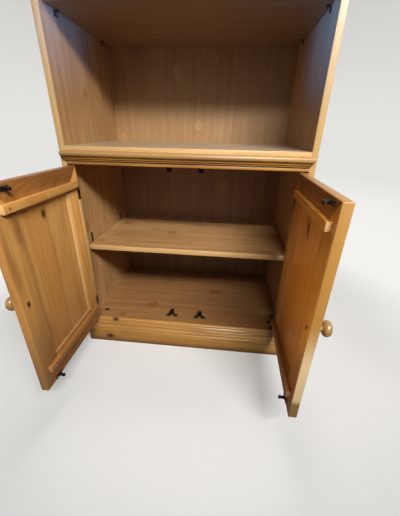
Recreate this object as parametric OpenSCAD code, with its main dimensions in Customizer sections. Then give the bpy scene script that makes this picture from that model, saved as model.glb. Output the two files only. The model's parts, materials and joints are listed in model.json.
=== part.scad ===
// Tall pine pantry cabinet: open shelves above, a cupboard with two inset doors below.
// Units are millimetres, +Z is up, +Y runs from the front to the back.
// The origin is on the floor, under the centre of the carcass.

/* [Carcass] */
// outside width of the carcass
carcass_w = 760; // [640:1:900]
// depth of the carcass, from the front edges to the back
carcass_d = 450; // [400:1:520]
// height of the carcass
carcass_h = 1780; // [1640:1:2000]
// thickness of the sides, shelves, top and bottom
board_t = 18; // [16:0.5:20]
// depth of the solid strip on a front edge
lipping_t = 6; // [3:0.5:10]
// thickness of the back panels
back_t = 4; // [3:0.5:6]
// width of the step in the sides that holds the back panels
rebate_w = 9; // [6:0.5:11]
// gap around a back panel in its step
back_gap = 0.5; // [0.2:0.1:1.5]

/* [Levels] */
// height of the cupboard floor's upper face
floor_top = 106; // [90:1:130]
// height of the fixed shelf's upper face
mid_top = 729; // [700:1:760]
// height of the cupboard shelf's upper face
low_shelf_top = 393; // [300:1:480]
// height of the first open shelf's upper face
open_shelf_top = 1078; // [1000:1:1150]
// height of the second open shelf's upper face
high_shelf_top = 1405; // [1330:1:1480]
// height of the rail under the fixed shelf
rail_h = 34; // [28:1:40]
// depth of the rail under the fixed shelf
rail_d = 100; // [95:1:130]

/* [Shelves] */
// distance from the carcass front to the cupboard shelf
low_setback = 43; // [40:1:60]
// distance from the carcass front to an open shelf
open_setback = 12; // [6:1:40]
// depth of the cupboard shelf
low_shelf_d = 340; // [330:1:380]
// gap between an open shelf and the back panel
shelf_back_gap = 1; // [0.5:0.5:10]
// gap between a loose shelf's end and the side
shelf_end_gap = 3; // [2.8:0.1:5]
// distance from the carcass front to the front clips
clip_front_y = 78; // [66:1:100]
// distance from the carcass front to the rear clips
clip_rear_y = 374; // [330:1:377]
// width of a clip
clip_w = 12; // [8:1:16]
// thickness of a clip's plate
clip_t = 2.4; // [1.5:0.1:2.6]
// height of a clip's plate above the shelf
clip_rise = 35; // [10:1:45]
// height of a clip's plate below the shelf
clip_drop = 14; // [12:1:20]
// length of the ledge under the shelf
clip_ledge = 10; // [8:1:16]
// thickness of the ledge under the shelf
clip_ledge_t = 3; // [2:0.5:4]
// diameter of a clip's peg
peg_dia = 5; // [3:0.5:6]
// length of a clip's peg
peg_len = 8; // [5:0.5:11]

/* [Plinth and mouldings] */
// how far the plinth stands out at each side
plinth_over = 6; // [2:0.5:12]
// distance from the inside of a side to the middle moulding's square end
moulding_in = 7; // [0:0.5:10]
// thickness of the bearers in the plinth
bearer_t = 18; // [15:1:22]
// size of the corner blocks behind the plinth
block_w = 40; // [30:1:50]
// height of the corner blocks behind the plinth
block_h = 60; // [40:1:75]
// distance from a side to the slot in the cupboard floor
slot_x = 32; // [24:1:36]
// distance from the carcass front to the slot in the cupboard floor
slot_y = 44; // [30:1:60]
// length of the slot in the cupboard floor
slot_len = 16; // [12:1:20]
// width of the slot in the cupboard floor
slot_w = 9; // [8.5:0.5:10]
// depth of the slot in the cupboard floor
slot_d = 9; // [6:0.5:12]

/* [Doors] */
// how far the doors stand open in the drawn pose, in degrees
door_open = 89.4; // [80:0.1:95]
// thickness of a door
door_t = 22; // [19:0.5:24]
// gap between a door's hinge edge and the side
hinge_gap = 2.5; // [2.4:0.1:4]
// gap between the two closed doors
meet_gap = 3; // [2.5:0.1:5]
// gap above a door
head_gap = 2.5; // [1.5:0.1:5]
// gap below a door
foot_gap = 3; // [1.5:0.1:5]
// width of the upright frame members
stile_w = 66; // [55:1:80]
// height of the door's top rail
top_rail_h = 65; // [62:1:80]
// height of the door's bottom rail
bottom_rail_h = 73; // [70:1:90]
// thickness of the tenons
tenon_t = 8; // [6:0.5:9]
// length of the tenons
tenon_len = 48; // [36:1:54]
// height that a tenon is cut back at each edge of its rail
tenon_cut = 18; // [12:1:24]
// thickness of the door panel at its edges
panel_t = 8; // [6:0.5:9]
// distance from the door's front to the panel's edges
panel_set = 7; // [5:0.5:8]
// depth of the groove that holds the panel
groove_d = 8; // [6:0.5:11]
// gap between the panel and the groove's bottom
panel_gap = 1; // [0.5:0.1:2]
// width of the sloping border around the raised middle
field_border = 34; // [20:1:45]
// height of the raised middle of the panel
field_rise = 4; // [2:0.5:5]
// width of the bead around the inside of the panel
bead_w = 6; // [4:0.5:9]
// thickness of the bead around the inside of the panel
bead_t = 5; // [3:0.5:6]
// gap between two beads where they meet
bead_gap = 0.2; // [0.1:0.1:0.5]

/* [Battens] */
// height of a batten on the inside of a door
batten_h = 20; // [15:1:24]
// thickness of a batten
batten_t = 12; // [8:0.5:14]
// distance from the hinge edge to a batten
batten_in = 24; // [20:1:40]
// distance from the free edge to a batten
batten_out = 20; // [15:1:40]
// distance from the door panel opening to a batten
batten_off = 3; // [0:0.5:8]
// diameter of the wooden plugs in a batten
plug_dia = 6; // [5:0.5:8]
// depth of the wooden plugs
plug_len = 7; // [4:0.5:7.5]
// distance from a batten's end to its outer plug or screw
fix_in = 18; // [12:1:30]

/* [Knobs] */
// height of the knobs above the floor
knob_z = 388; // [300:1:480]
// distance from the free edge to the knob's centre
knob_in = 24; // [20:1:33]
// diameter of a knob
knob_dia = 38; // [30:1:45]
// length of a knob
knob_len = 31; // [26:1:40]
// diameter of a knob's foot
knob_foot = 22; // [18:0.5:26]
// diameter of the knob screw's shank
knob_screw_dia = 4; // [3:0.5:5]
// diameter of the knob screw's head
knob_head_dia = 7.5; // [6:0.5:9]
// depth of the knob screw's head below the door's inside
knob_bore_d = 6; // [4:0.5:10]

/* [Hinges] */
// height of a hinge
hinge_h = 38; // [36:1:50]
// height of the lower hinge's centre above the door's foot
hinge_low = 81; // [70:1:90]
// distance from the door's top to the upper hinge's centre
hinge_high = 83; // [76:1:110]
// thickness of the hinge leaves
leaf_t = 1.1; // [0.9:0.05:1.1]
// depth of the leaf on the side
side_leaf_d = 19; // [16:0.5:24]
// width of the flange that folds a leaf onto the door's inside
flange_w = 13; // [11:0.5:16]
// diameter of a hinge's knuckle
knuckle_dia = 6; // [5:0.1:6]
// diameter of a hinge's pin
pin_dia = 2.6; // [2:0.1:3]
// gap around a hinge's pin
pin_clear = 0.05; // [0.02:0.01:0.1]
// gap between two knuckle segments
knuckle_gap = 0.4; // [0.3:0.05:0.8]
// distance from the door's face to the pin's axis
pin_out = 3.2; // [3.1:0.1:6]
// thickness of the strip between the hinges on the door's inside
strip_t = 2; // [1.2:0.1:3]
// gap between that strip and a hinge
strip_gap = 0.6; // [0.3:0.1:2]
// thickness of the strip that stops a closed door
stop_t = 7; // [5:0.5:9]
// depth of the strip that stops a closed door
stop_d = 13; // [10:0.5:16]
// gap between a closed door's strip and its stop
stop_gap = 1.2; // [0.8:0.1:2]
// gap between a stop and the hinges
stop_end_gap = 8; // [3:1:20]

/* [Catches and screws] */
// distance from the cabinet's middle to a lower catch
catch_x_low = 56; // [45:1:80]
// distance from the cabinet's middle to an upper catch
catch_x_high = 49.5; // [45:0.5:80]
// distance from the carcass front to a catch
catch_y = 32; // [31:1:34]
// width of a catch across its ears
catch_w = 44; // [42:1:52]
// thickness of a catch's base
catch_base_t = 2; // [1.5:0.1:3]
// height of a catch
catch_h = 19.5; // [19:0.5:21]
// width of a catch's mouth between its rollers
mouth_w = 9.8; // [9.6:0.1:11]
// diameter of a catch's rollers
roller_dia = 4.5; // [4:0.5:6]
// height of a catch above its rollers
roller_drop = 1.5; // [0.5:0.1:2]
// thickness of a catch's arms
arm_t = 3.2; // [2:0.1:4]
// diameter of the round spring housing behind the arms
housing_dia = 14; // [13:0.5:16]
// distance from a catch's front to the middle of its housing
housing_y = 18.5; // [18.5:0.5:22]
// height of a lower striker's axis above the cupboard's floor
striker_low = 10; // [9.5:0.1:11.5]
// depth of an upper striker's axis below the rail
striker_high = 14.5; // [10:0.5:14.5]
// width of a striker's plate
striker_w = 32; // [26:1:40]
// height of a striker's plate
striker_h = 10; // [9:0.5:13]
// thickness of a striker's plate
striker_t = 2; // [1.5:0.1:3]
// width of a striker's neck
neck_w = 4.6; // [4:0.2:6]
// width of a striker's head
head_w = 7.4; // [7:0.1:7.6]
// height of a striker's neck and head
tongue_h = 8; // [7:0.5:8.5]
// distance from the door's inside to the end of a striker's head
tongue_len = 18.5; // [17.5:0.5:19]
// diameter of the small screws' shanks
screw_dia = 3; // [2.5:0.1:3.5]
// diameter of the small screws' heads
screw_head_dia = 5.6; // [5:0.1:6]
// length of the small screws
screw_len = 13; // [10:0.5:14]
// gap around a screw's shank
screw_clear = 0.05; // [0.02:0.01:0.1]
// diameter of the dowels in the carcass
dowel_dia = 8; // [6:0.5:9]
// length of a dowel in a side
dowel_in_side = 11; // [8:0.5:13]
// length of a dowel in a shelf or rail
dowel_in_board = 25; // [20:1:35]
// diameter of the back panel's pins
nail_dia = 1.6; // [1.2:0.1:2]
// diameter of the back panel's pin heads
nail_head_dia = 4; // [3:0.1:5]
// length of the back panel's pins
nail_len = 20; // [15:1:25]

// from the front and the back of the carcass to its first and last dowels
dowel_inset = 60; // [40:5:100]
// from the floor's top and the carcass's top to the back's end pins
nail_inset = 45; // [25:5:80]
// length of a floor screw below its slot
floor_screw_len = 28; // [22:2:34]
// height of a floor screw's head
floor_head_h = 3; // [2:0.5:4]
// gap between a floor screw's head and its slot
floor_head_gap = 0.3; // [0.2:0.1:0.6]
// depth of the ear that a catch is screwed down by
catch_ear_d = 12; // [11:0.5:14]

/* [Hidden] */
$fn = 48;
eps = 0.01;
nail_head_h = 0.8;
front_y = -carcass_d / 2;
back_y = carcass_d / 2;
back_face = back_y - back_t;
inner_w = carcass_w - 2 * board_t;
inner_x = inner_w / 2;
mid_under = mid_top - board_t;
rail_z = mid_under - rail_h;
floor_under = floor_top - board_t;
top_under = carcass_h - board_t;
mid_seam = mid_top - board_t / 2;

// Mouldings, as [how far it stands out, height]
mould_profile = [
    [0, 0], [3.5, 0], [4.5, 1], [4.5, 8], [3.5, 9], [3.5, 10.5], [7, 11.5], [8, 13],
    [8, 15], [9, 16], [11, 17.5], [11.5, 19], [11.5, 21], [13, 22], [13, 23.5],
    [15.5, 25], [17.3, 28], [18, 31], [18, 34], [17, 36.5], [14, 38.5], [9, 40],
    [2, 41], [0, 41]
];
mould_h = 41;
plinth_profile_top = [
    [22, -48], [21, -46], [19.5, -45], [19.5, -42], [18.5, -40], [16, -34],
    [14.5, -30], [14.5, -26], [12, -24], [11, -18], [10.5, -14], [8.5, -12],
    [8.5, -7], [7.5, -4.5], [6, -3], [6, 0], [0, 0]
];
plinth_t = 22;
mould_square = inner_x - moulding_in;
plinth_square = carcass_w / 2 + plinth_over - plinth_t;

// Doors, in the closed place of the right-hand one
door_foot = floor_top + foot_gap;
door_head = rail_z - head_gap;
door_h = door_head - door_foot;
door_w = (inner_w - 2 * hinge_gap - meet_gap) / 2;
door_edge = inner_x - hinge_gap;
pin_x = inner_x - hinge_gap / 2;
pin_y = front_y - pin_out;
open_low = door_foot + bottom_rail_h;
open_high = door_head - top_rail_h;
door_back = front_y + door_t;
field_len = open_high - open_low;
field_w = door_w - 2 * stile_w;
low_batten_z = open_low - batten_off - batten_h;
high_batten_z = open_high + batten_off;
batten_len = door_w - batten_in - batten_out;
hinge_zs = [door_foot + hinge_low, door_head - hinge_high];
catch_xs = [catch_x_low, catch_x_high];
striker_zs = [floor_top + striker_low, rail_z - striker_high];
strip_low = hinge_zs[0] + hinge_h / 2 + strip_gap;
strip_high = hinge_zs[1] - hinge_h / 2 - strip_gap;
stop_low = hinge_zs[0] + hinge_h / 2 + stop_end_gap;
stop_high = hinge_zs[1] - hinge_h / 2 - stop_end_gap;
segment_h = (hinge_h - 2 * knuckle_gap) / 3;
leaf_start = knuckle_dia / 2 + knuckle_gap;
roller_x = (mouth_w + roller_dia) / 2;
roller_y = roller_dia / 2;
arm_len = housing_y - roller_y;
arm_turn = atan((roller_x - (housing_dia - arm_t) / 2) / arm_len);
catch_screw_x = (roller_x + roller_y + catch_w / 2) / 2;
screw_head_h = (screw_head_dia - screw_dia) / 2;
leaf_screw_zs = [-hinge_h / 3, hinge_h / 3];
side_leaf_screw_y = front_y + side_leaf_d * 0.72;
striker_screw_x = striker_w / 2 - screw_head_dia * 0.75;
low_shelf_back = low_setback + low_shelf_d;
open_shelf_back = carcass_d - back_t - shelf_back_gap;
shelf_w = inner_w - 2 * shelf_end_gap;
shelf_tops = [low_shelf_top, open_shelf_top, high_shelf_top];
shelf_fronts = [low_setback, open_setback, open_setback];
clip_ys = [front_y + clip_front_y, front_y + clip_rear_y];
peg_z = -board_t - clip_ledge_t - (clip_drop - clip_ledge_t) / 2;
dowel_tops = [floor_top, mid_top, carcass_h];
dowel_ys = [front_y + dowel_inset, 0, back_face - dowel_inset];
rail_dowel_y = front_y + rail_d / 2;
nail_xs = [-carcass_w / 2 + board_t - rebate_w / 2, carcass_w / 2 - board_t + rebate_w / 2];
nail_run = carcass_h - floor_top - 2 * nail_inset;
nail_zs = [for (i = [0 : 10]) floor_top + nail_inset + i * nail_run / 10];
plug_in = batten_in + fix_in;
plug_mid = batten_in + batten_len / 2;
plug_out = batten_in + batten_len - fix_in;

wood = [0.86, 0.62, 0.34];
foil = [0.72, 0.50, 0.29];
pale = [0.93, 0.80, 0.56];
dark = [0.12, 0.09, 0.08];
steel = [0.62, 0.60, 0.56];
board_back = [0.66, 0.47, 0.28];

// ---- shared shapes ----

// a box by its lowest corner and its size
module block(at, size) {
    translate(at) cube(size);
}

// a box that is centred across the cabinet
module centred(w, y, d, z, h) {
    block([-w / 2, y, z], [w, d, h]);
}

// both halves of what the cabinet has left and right
module both_sides() {
    children();
    mirror([1, 0, 0]) children();
}

// a strip that is the profile along X and turns back on itself at both ends
module returned_strip(profile, square, reach) {
    intersection() {
        rotate([90, 0, 90])
            linear_extrude(height = 2 * (square + reach), center = true)
                polygon([for (p = profile) [-p[0], p[1]]]);
        rotate([90, 0, 0])
            linear_extrude(height = 2 * reach, center = true)
                polygon(concat(
                    [for (p = profile) [square + p[0], p[1]]],
                    [for (i = [len(profile) - 1 : -1 : 0])
                        [-square - profile[i][0], profile[i][1]]]));
    }
}

// a screw with a sunk head, its head's face at z = 0 and its tip down
module small_screw(grow = 0) {
    translate([0, 0, -screw_len])
        cylinder(d = screw_dia + 2 * grow, h = screw_len - screw_head_h + eps);
    translate([0, 0, -screw_head_h])
        cylinder(d1 = screw_dia, d2 = screw_head_dia, h = screw_head_h);
}

// a screw with its driver recess
module driven_screw() {
    difference() {
        small_screw();
        translate([0, 0, -screw_head_h / 2])
            for (a = [0, 90])
                rotate([0, 0, a])
                    block([-screw_head_dia * 0.3, -0.4, 0], [screw_head_dia * 0.6, 0.8, screw_len]);
    }
}

// ---- carcass ----

// where the dowels of one side are
module dowel_places() {
    for (z = dowel_tops)
        for (y = dowel_ys)
            translate([inner_x, y, z - board_t / 2]) children();
    translate([inner_x, rail_dowel_y, rail_z + rail_h / 2]) children();
}

module dowel() {
    translate([-dowel_in_board, 0, 0])
        rotate([0, 90, 0]) cylinder(d = dowel_dia, h = dowel_in_board + dowel_in_side);
}

// where the clips of one side are, with z at the shelf's upper face
module clip_places() {
    for (z = shelf_tops)
        for (y = clip_ys)
            translate([inner_x, y, z]) children();
}

module clip_peg(grow = 0) {
    translate([-clip_t / 2, 0, peg_z])
        rotate([0, 90, 0]) cylinder(d = peg_dia, h = clip_t / 2 + peg_len + grow);
}

module nail_places() {
    for (x = nail_xs)
        for (z = nail_zs)
            translate([x, back_y, z]) rotate([-90, 0, 0]) children();
}

module nail() {
    translate([0, 0, -nail_len]) cylinder(d = nail_dia, h = nail_len);
    translate([0, 0, -nail_head_h]) cylinder(d = nail_head_dia, h = nail_head_h);
}

// where the screws of the side leaves are
module side_leaf_screw_places() {
    for (z = hinge_zs)
        for (dz = leaf_screw_zs)
            translate([inner_x - leaf_t, side_leaf_screw_y, z + dz])
                rotate([0, -90, 0]) children();
}

module side_board() {
    difference() {
        block([inner_x, front_y + lipping_t, 0], [board_t, carcass_d - lipping_t, carcass_h]);
        block([inner_x - eps, back_face, -eps], [rebate_w + eps, back_t + eps, carcass_h + 2 * eps]);
        dowel_places() dowel();
        clip_places() clip_peg(0.5);
        nail_places() nail();
        side_leaf_screw_places() small_screw(screw_clear);
    }
}

module side_right() {
    color(foil) side_board();
}

module side_left() {
    color(foil) mirror([1, 0, 0]) side_board();
}

module side_lippings() {
    color(pale) both_sides()
        difference() {
            block([inner_x, front_y, 0], [board_t, lipping_t, carcass_h]);
            side_leaf_screw_places() small_screw(screw_clear);
        }
}

// a fixed board between the sides, by the height of its upper face
module fixed_board(z, lip) {
    difference() {
        centred(inner_w, front_y + lip, carcass_d - back_t - lip, z - board_t, board_t);
        both_sides() dowel_places() dowel();
    }
}

module top_board() {
    color(foil) fixed_board(carcass_h, 0);
}

module cornice() {
    color(wood) translate([0, front_y, carcass_h - mould_h])
        returned_strip(mould_profile, mould_square, plinth_t);
}

module mid_shelf() {
    color(foil) fixed_board(mid_top, lipping_t);
}

module mid_shelf_lipping() {
    color(pale) centred(inner_w, front_y, lipping_t, mid_under, board_t);
}

module mid_moulding() {
    color(wood) translate([0, front_y, rail_z])
        returned_strip(mould_profile, mould_square, plinth_t);
}

module mid_rail() {
    color(wood) difference() {
        centred(inner_w, front_y, rail_d, rail_z, rail_h);
        both_sides() dowel_places() dowel();
        catch_screw_places(rail_z, 1) small_screw(screw_clear);
    }
}

module slot_places() {
    both_sides()
        translate([inner_x - slot_x, front_y + slot_y, floor_top]) children();
}

// the oval recess that a floor screw's head lies in
module floor_slot() {
    travel = slot_len - slot_w;
    translate([0, 0, -slot_d]) {
        for (s = [-1, 1])
            translate([s * travel / 2, 0, 0]) cylinder(d = slot_w, h = slot_d + eps);
        block([-travel / 2, -slot_w / 2, 0], [travel, slot_w, slot_d + eps]);
    }
}

module cupboard_floor() {
    color(foil) difference() {
        fixed_board(floor_top, 0);
        slot_places() floor_slot();
        slot_places() floor_screw(screw_clear);
        catch_screw_places(floor_top, 0) small_screw(screw_clear);
    }
}

// a long screw through the floor into a corner block
module floor_screw(grow = 0) {
    translate([0, 0, -slot_d - floor_screw_len])
        cylinder(d = screw_dia + 1 + 2 * grow, h = floor_screw_len + eps);
    if (grow == 0)
        translate([0, 0, -slot_d]) cylinder(d = slot_w - 2 * floor_head_gap, h = floor_head_h);
}

module floor_screws() {
    color(steel) slot_places() floor_screw();
}

module plinth_front() {
    color(wood) translate([0, front_y, 0])
        returned_strip(
            concat([[0, 0], [plinth_t, 0]],
                [for (p = plinth_profile_top) [p[0], p[1] + floor_top]]),
            plinth_square, plinth_t);
}

module plinth_rear() {
    color(wood) centred(inner_w, back_face - bearer_t, bearer_t, 0, floor_under);
}

module plinth_bearer() {
    color(wood)
        centred(bearer_t, front_y, carcass_d - back_t - bearer_t, 0, floor_under);
}

module plinth_blocks() {
    color(wood) difference() {
        both_sides()
            block([inner_x - slot_x - block_w / 2, front_y + slot_y - block_w / 2, floor_under - block_h],
                [block_w / 2 + slot_x, block_w, block_h]);
        slot_places() floor_screw(screw_clear);
    }
}

module back_sheet(low, high) {
    w = inner_w + 2 * (rebate_w - back_gap);
    difference() {
        centred(w, back_face, back_t, low, high - low);
        nail_places() nail();
    }
}

module back_lower() {
    color(board_back) back_sheet(floor_under, mid_seam - back_gap / 2);
}

module back_upper() {
    color(board_back) back_sheet(mid_seam + back_gap / 2, carcass_h);
}

module back_pins() {
    color(steel) nail_places() nail();
}

module carcass_dowels() {
    color(pale) both_sides() dowel_places() dowel();
}

// ---- loose shelves ----

module loose_shelf(z, setback, rear) {
    front = setback + lipping_t;
    color(foil) centred(shelf_w, front_y + front, rear - front, z - board_t, board_t);
}

module cupboard_shelf() {
    loose_shelf(low_shelf_top, low_setback, low_shelf_back);
}

module open_shelf() {
    loose_shelf(open_shelf_top, open_setback, open_shelf_back);
}

module high_shelf() {
    loose_shelf(high_shelf_top, open_setback, open_shelf_back);
}

module shelf_lippings() {
    color(pale)
        for (i = [0 : len(shelf_tops) - 1])
            centred(shelf_w, front_y + shelf_fronts[i], lipping_t, shelf_tops[i] - board_t, board_t);
}

// a snap-in clip: a plate on the side, a ledge under the shelf and a peg
module clip() {
    block([-clip_t, -clip_w / 2, -board_t - clip_drop], [clip_t, clip_w, board_t + clip_drop + clip_rise]);
    block([-clip_t - clip_ledge, -clip_w / 2, -board_t - clip_ledge_t],
        [clip_t + clip_ledge, clip_w, clip_ledge_t]);
    clip_peg();
}

module shelf_clips() {
    color(dark) both_sides() clip_places() clip();
}

module door_stops() {
    color(wood) both_sides()
        block([inner_x - stop_t, door_back + strip_t + stop_gap, stop_low],
            [stop_t, stop_d, stop_high - stop_low]);
}

// ---- catches ----

// where the catches are: on the floor (up = 0) or under the rail (up = 1)
module catch_places(z, up) {
    for (s = [-1, 1])
        translate([s * catch_xs[up], front_y + catch_y, z]) mirror([0, 0, up]) children();
}

module catch_screw_places(z, up) {
    catch_places(z, up)
        for (s = [-1, 1])
            translate([s * catch_screw_x, catch_ear_d / 2, catch_base_t]) children();
}

// a spring catch with two rollers at its open mouth, towards the door
module catch_body() {
    half = housing_dia / 2;
    mouth = mouth_w / 2;
    mouth_end = housing_y - half * 0.8;
    difference() {
        union() {
            linear_extrude(height = catch_base_t)
                polygon([
                    [-catch_w / 2, 0], [-mouth, 0], [-mouth, mouth_end], [mouth, mouth_end],
                    [mouth, 0], [catch_w / 2, 0], [catch_w / 2, catch_ear_d],
                    [half, housing_y], [-half, housing_y], [-catch_w / 2, catch_ear_d]
                ]);
            translate([0, housing_y, 0]) cylinder(d = housing_dia, h = catch_h);
            for (s = [-1, 1])
                translate([s * roller_x, roller_y, 0]) {
                    cylinder(d = roller_dia, h = catch_h - roller_drop);
                    rotate([0, 0, s * arm_turn])
                        block([-arm_t / 2, 0, catch_base_t],
                            [arm_t, arm_len, catch_h - catch_base_t - roller_drop]);
                }
        }
        for (s = [-1, 1])
            translate([s * catch_screw_x, catch_ear_d / 2, catch_base_t]) small_screw();
    }
}

module catches_lower() {
    color(dark) catch_places(floor_top, 0) catch_body();
}

module catches_upper() {
    color(dark) catch_places(rail_z, 1) catch_body();
}

module catch_screws() {
    color(steel) {
        catch_screw_places(floor_top, 0) driven_screw();
        catch_screw_places(rail_z, 1) driven_screw();
    }
}

// ---- hinges, on the right-hand side ----

// one knuckle segment, centred at z
module segment(z, h) {
    translate([pin_x, pin_y, z]) difference() {
        cylinder(d = knuckle_dia, h = h, center = true);
        cylinder(d = pin_dia + 2 * pin_clear, h = h + 2 * eps, center = true);
    }
}

// a leaf's plate from x0 to x0 + leaf_t, cut back from the pin's axis
module leaf_plate(x0, z, depth) {
    block([x0, pin_y + leaf_start, z - hinge_h / 2],
        [leaf_t, depth + pin_out - leaf_start, hinge_h]);
}

// the tongue that joins a plate to one of its segments
module leaf_tongue(x0, z, h) {
    difference() {
        block([x0, pin_y, z - h / 2], [leaf_t, leaf_start + eps, h]);
        translate([pin_x, pin_y, z])
            cylinder(d = pin_dia + 2 * pin_clear, h = h + 2 * eps, center = true);
    }
}

module side_leaf(z) {
    step = segment_h + knuckle_gap;
    difference() {
        union() {
            leaf_plate(inner_x - leaf_t, z, side_leaf_d);
            for (s = [-1, 1]) {
                segment(z + s * step, segment_h);
                leaf_tongue(inner_x - leaf_t, z + s * step, segment_h);
            }
        }
        side_leaf_screw_places() small_screw();
    }
}

module side_leaves() {
    color(dark) both_sides()
        for (z = hinge_zs) side_leaf(z);
}

module hinge_pins() {
    color(dark) both_sides()
        for (z = hinge_zs) {
            translate([pin_x, pin_y, z]) cylinder(d = pin_dia, h = hinge_h, center = true);
            for (s = [-1, 1])
                translate([pin_x, pin_y, z + s * (hinge_h + 1) / 2])
                    cylinder(d = knuckle_dia, h = 1, center = true);
        }
}

module side_leaf_screws() {
    color(steel) both_sides() side_leaf_screw_places() driven_screw();
}

module door_leaf(z) {
    difference() {
        union() {
            leaf_plate(door_edge, z, door_t + leaf_t);
            block([door_edge - flange_w, door_back, z - hinge_h / 2],
                [flange_w + leaf_t, leaf_t, hinge_h]);
            segment(z, segment_h);
            leaf_tongue(door_edge, z, segment_h);
        }
        door_leaf_screw_places() small_screw();
    }
}

module door_leaf_screw_places() {
    for (z = hinge_zs)
        for (dz = leaf_screw_zs)
            translate([door_edge - flange_w / 2, door_back + leaf_t, z + dz])
                rotate([-90, 0, 0]) children();
}

// ---- one door, closed on the right-hand side ----

// x of a point by its distance from the hinge edge
function door_x(along) = door_edge - along;

// a box on the door, by its distance from the hinge edge
module door_block(along, w, depth, d, z, h) {
    block([door_x(along + w), front_y + depth, z], [w, d, h]);
}

// the panel with the gap around it, as it is cut from the frame
module panel_groove() {
    door_block(stile_w - groove_d, field_w + 2 * groove_d, panel_set, panel_t,
        open_low - groove_d, field_len + 2 * groove_d);
}

// the tenon of a rail at one end, or its mortise
module tenons(low, high, grow) {
    for (along = [stile_w - tenon_len - grow, stile_w + field_w])
        door_block(along, tenon_len + grow, (door_t - tenon_t) / 2, tenon_t,
            low + tenon_cut, high - low - 2 * tenon_cut);
}

module all_tenons(grow) {
    tenons(door_foot, open_low, grow);
    tenons(open_high, door_head, grow);
}

module knob_place() {
    translate([door_x(door_w - knob_in), front_y, knob_z]) rotate([90, 0, 0]) children();
}

// the screw of a knob, along +Z through the door into the knob
module knob_fixing(grow = 0) {
    head_h = 3;
    translate([0, 0, -door_t + knob_bore_d])
        cylinder(d = knob_screw_dia + 2 * grow, h = door_t - knob_bore_d + knob_len * 0.6);
    translate([0, 0, -door_t + knob_bore_d - head_h])
        cylinder(d = knob_head_dia, h = head_h);
}

// the bore for the knob screw and its head
module knob_bore() {
    knob_fixing(screw_clear);
    translate([0, 0, -door_t - eps]) cylinder(d = knob_head_dia + 0.5, h = knob_bore_d + eps);
}

module striker_places() {
    for (up = [0, 1])
        translate([catch_xs[up], door_back, striker_zs[up]]) children();
}

module striker_screw_places() {
    striker_places()
        for (s = [-1, 1])
            translate([s * striker_screw_x, striker_t, 0]) rotate([-90, 0, 0]) children();
}

// where plugs go, as [distance from the hinge edge, height]
plug_points = [
    [plug_in, high_batten_z + batten_h / 2],
    [plug_mid, high_batten_z + batten_h / 2],
    [plug_mid, low_batten_z + batten_h / 2],
    [plug_out, low_batten_z + batten_h / 2],
    [plug_in, low_batten_z + batten_h / 2]
];

module plug_places() {
    for (p = plug_points)
        translate([door_x(p[0]), door_back + batten_t, p[1]]) rotate([-90, 0, 0]) children();
}

// the one screw that shows in the upper batten
module batten_screw_place() {
    translate([door_x(plug_out), door_back + batten_t, high_batten_z + batten_h / 2])
        rotate([-90, 0, 0]) children();
}

module plug() {
    translate([0, 0, -plug_len]) cylinder(d = plug_dia, h = plug_len);
}

module stile_cuts() {
    panel_groove();
    all_tenons(0.5);
    door_leaf_screw_places() small_screw(screw_clear);
    striker_screw_places() small_screw(screw_clear);
    knob_place() knob_bore();
    batten_screw_place() small_screw(screw_clear);
}

// a mitred frame piece through the door, from [distance from the hinge edge, height]
module frame_piece(corners) {
    translate([0, door_back, 0]) rotate([90, 0, 0])
        linear_extrude(height = door_t)
            polygon([for (c = corners) [door_x(c[0]), c[1]]]);
}

// a stile between the mitres, from its outer to its inner edge
module mitred_stile(outer, inner) {
    difference() {
        frame_piece([[outer, door_foot], [outer, door_head],
            [inner, open_high], [inner, open_low]]);
        stile_cuts();
    }
}

module hinge_stile() {
    mitred_stile(0, stile_w);
}

module meeting_stile() {
    mitred_stile(door_w, door_w - stile_w);
}

// a rail between the mitres, with a tenon through each of them
module door_rail(low, high, outer, inner) {
    difference() {
        union() {
            frame_piece([[0, outer], [door_w, outer],
                [door_w - stile_w, inner], [stile_w, inner]]);
            tenons(low, high, 0);
        }
        panel_groove();
        striker_screw_places() small_screw(screw_clear);
    }
}

module top_rail() {
    door_rail(open_high, door_head, door_head, open_high);
}

module bottom_rail() {
    door_rail(door_foot, open_low, door_foot, open_low);
}

// the panel: flat inside, with a raised middle outside
module door_panel() {
    reach = groove_d - panel_gap;
    door_block(stile_w - reach, field_w + 2 * reach, panel_set, panel_t,
        open_low - reach, field_len + 2 * reach);
    half_w = field_w / 2 - 2;
    half_h = field_len / 2 - 2;
    translate([door_x(door_w / 2), front_y + panel_set, (open_low + open_high) / 2])
        intersection() {
            linear_extrude(height = 2 * half_h, center = true)
                polygon([[-half_w, 0], [half_w, 0],
                    [half_w - field_border, -field_rise], [field_border - half_w, -field_rise]]);
            rotate([0, 90, 0])
                linear_extrude(height = 2 * half_w, center = true)
                    polygon([[-half_h, 0], [half_h, 0],
                        [half_h - field_border, -field_rise], [field_border - half_h, -field_rise]]);
        }
}

// the thin strips inside: two upright beads along the panel's opening, two
// beads between them, and a flat strip along the hinge edge
module beads() {
    door_block(0, flange_w, door_t, strip_t, strip_low, strip_high - strip_low);
    depth = panel_set + panel_t;
    for (along = [stile_w, stile_w + field_w - bead_w])
        door_block(along, bead_w, depth, bead_t, open_low, field_len);
    for (z = [open_low, open_high - bead_w])
        door_block(stile_w + bead_w + bead_gap, field_w - 2 * (bead_w + bead_gap),
            depth, bead_t, z, bead_w);
}

module batten(z) {
    difference() {
        door_block(batten_in, batten_len, door_t, batten_t, z, batten_h);
        plug_places() plug();
        batten_screw_place() small_screw(screw_clear);
    }
}

module door_screws() {
    door_leaf_screw_places() driven_screw();
    striker_screw_places() driven_screw();
    batten_screw_place() driven_screw();
}

knob_half = knob_dia / 2;
knob_foot_r = knob_foot / 2;
knob_neck_r = knob_foot_r * 0.72;
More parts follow.
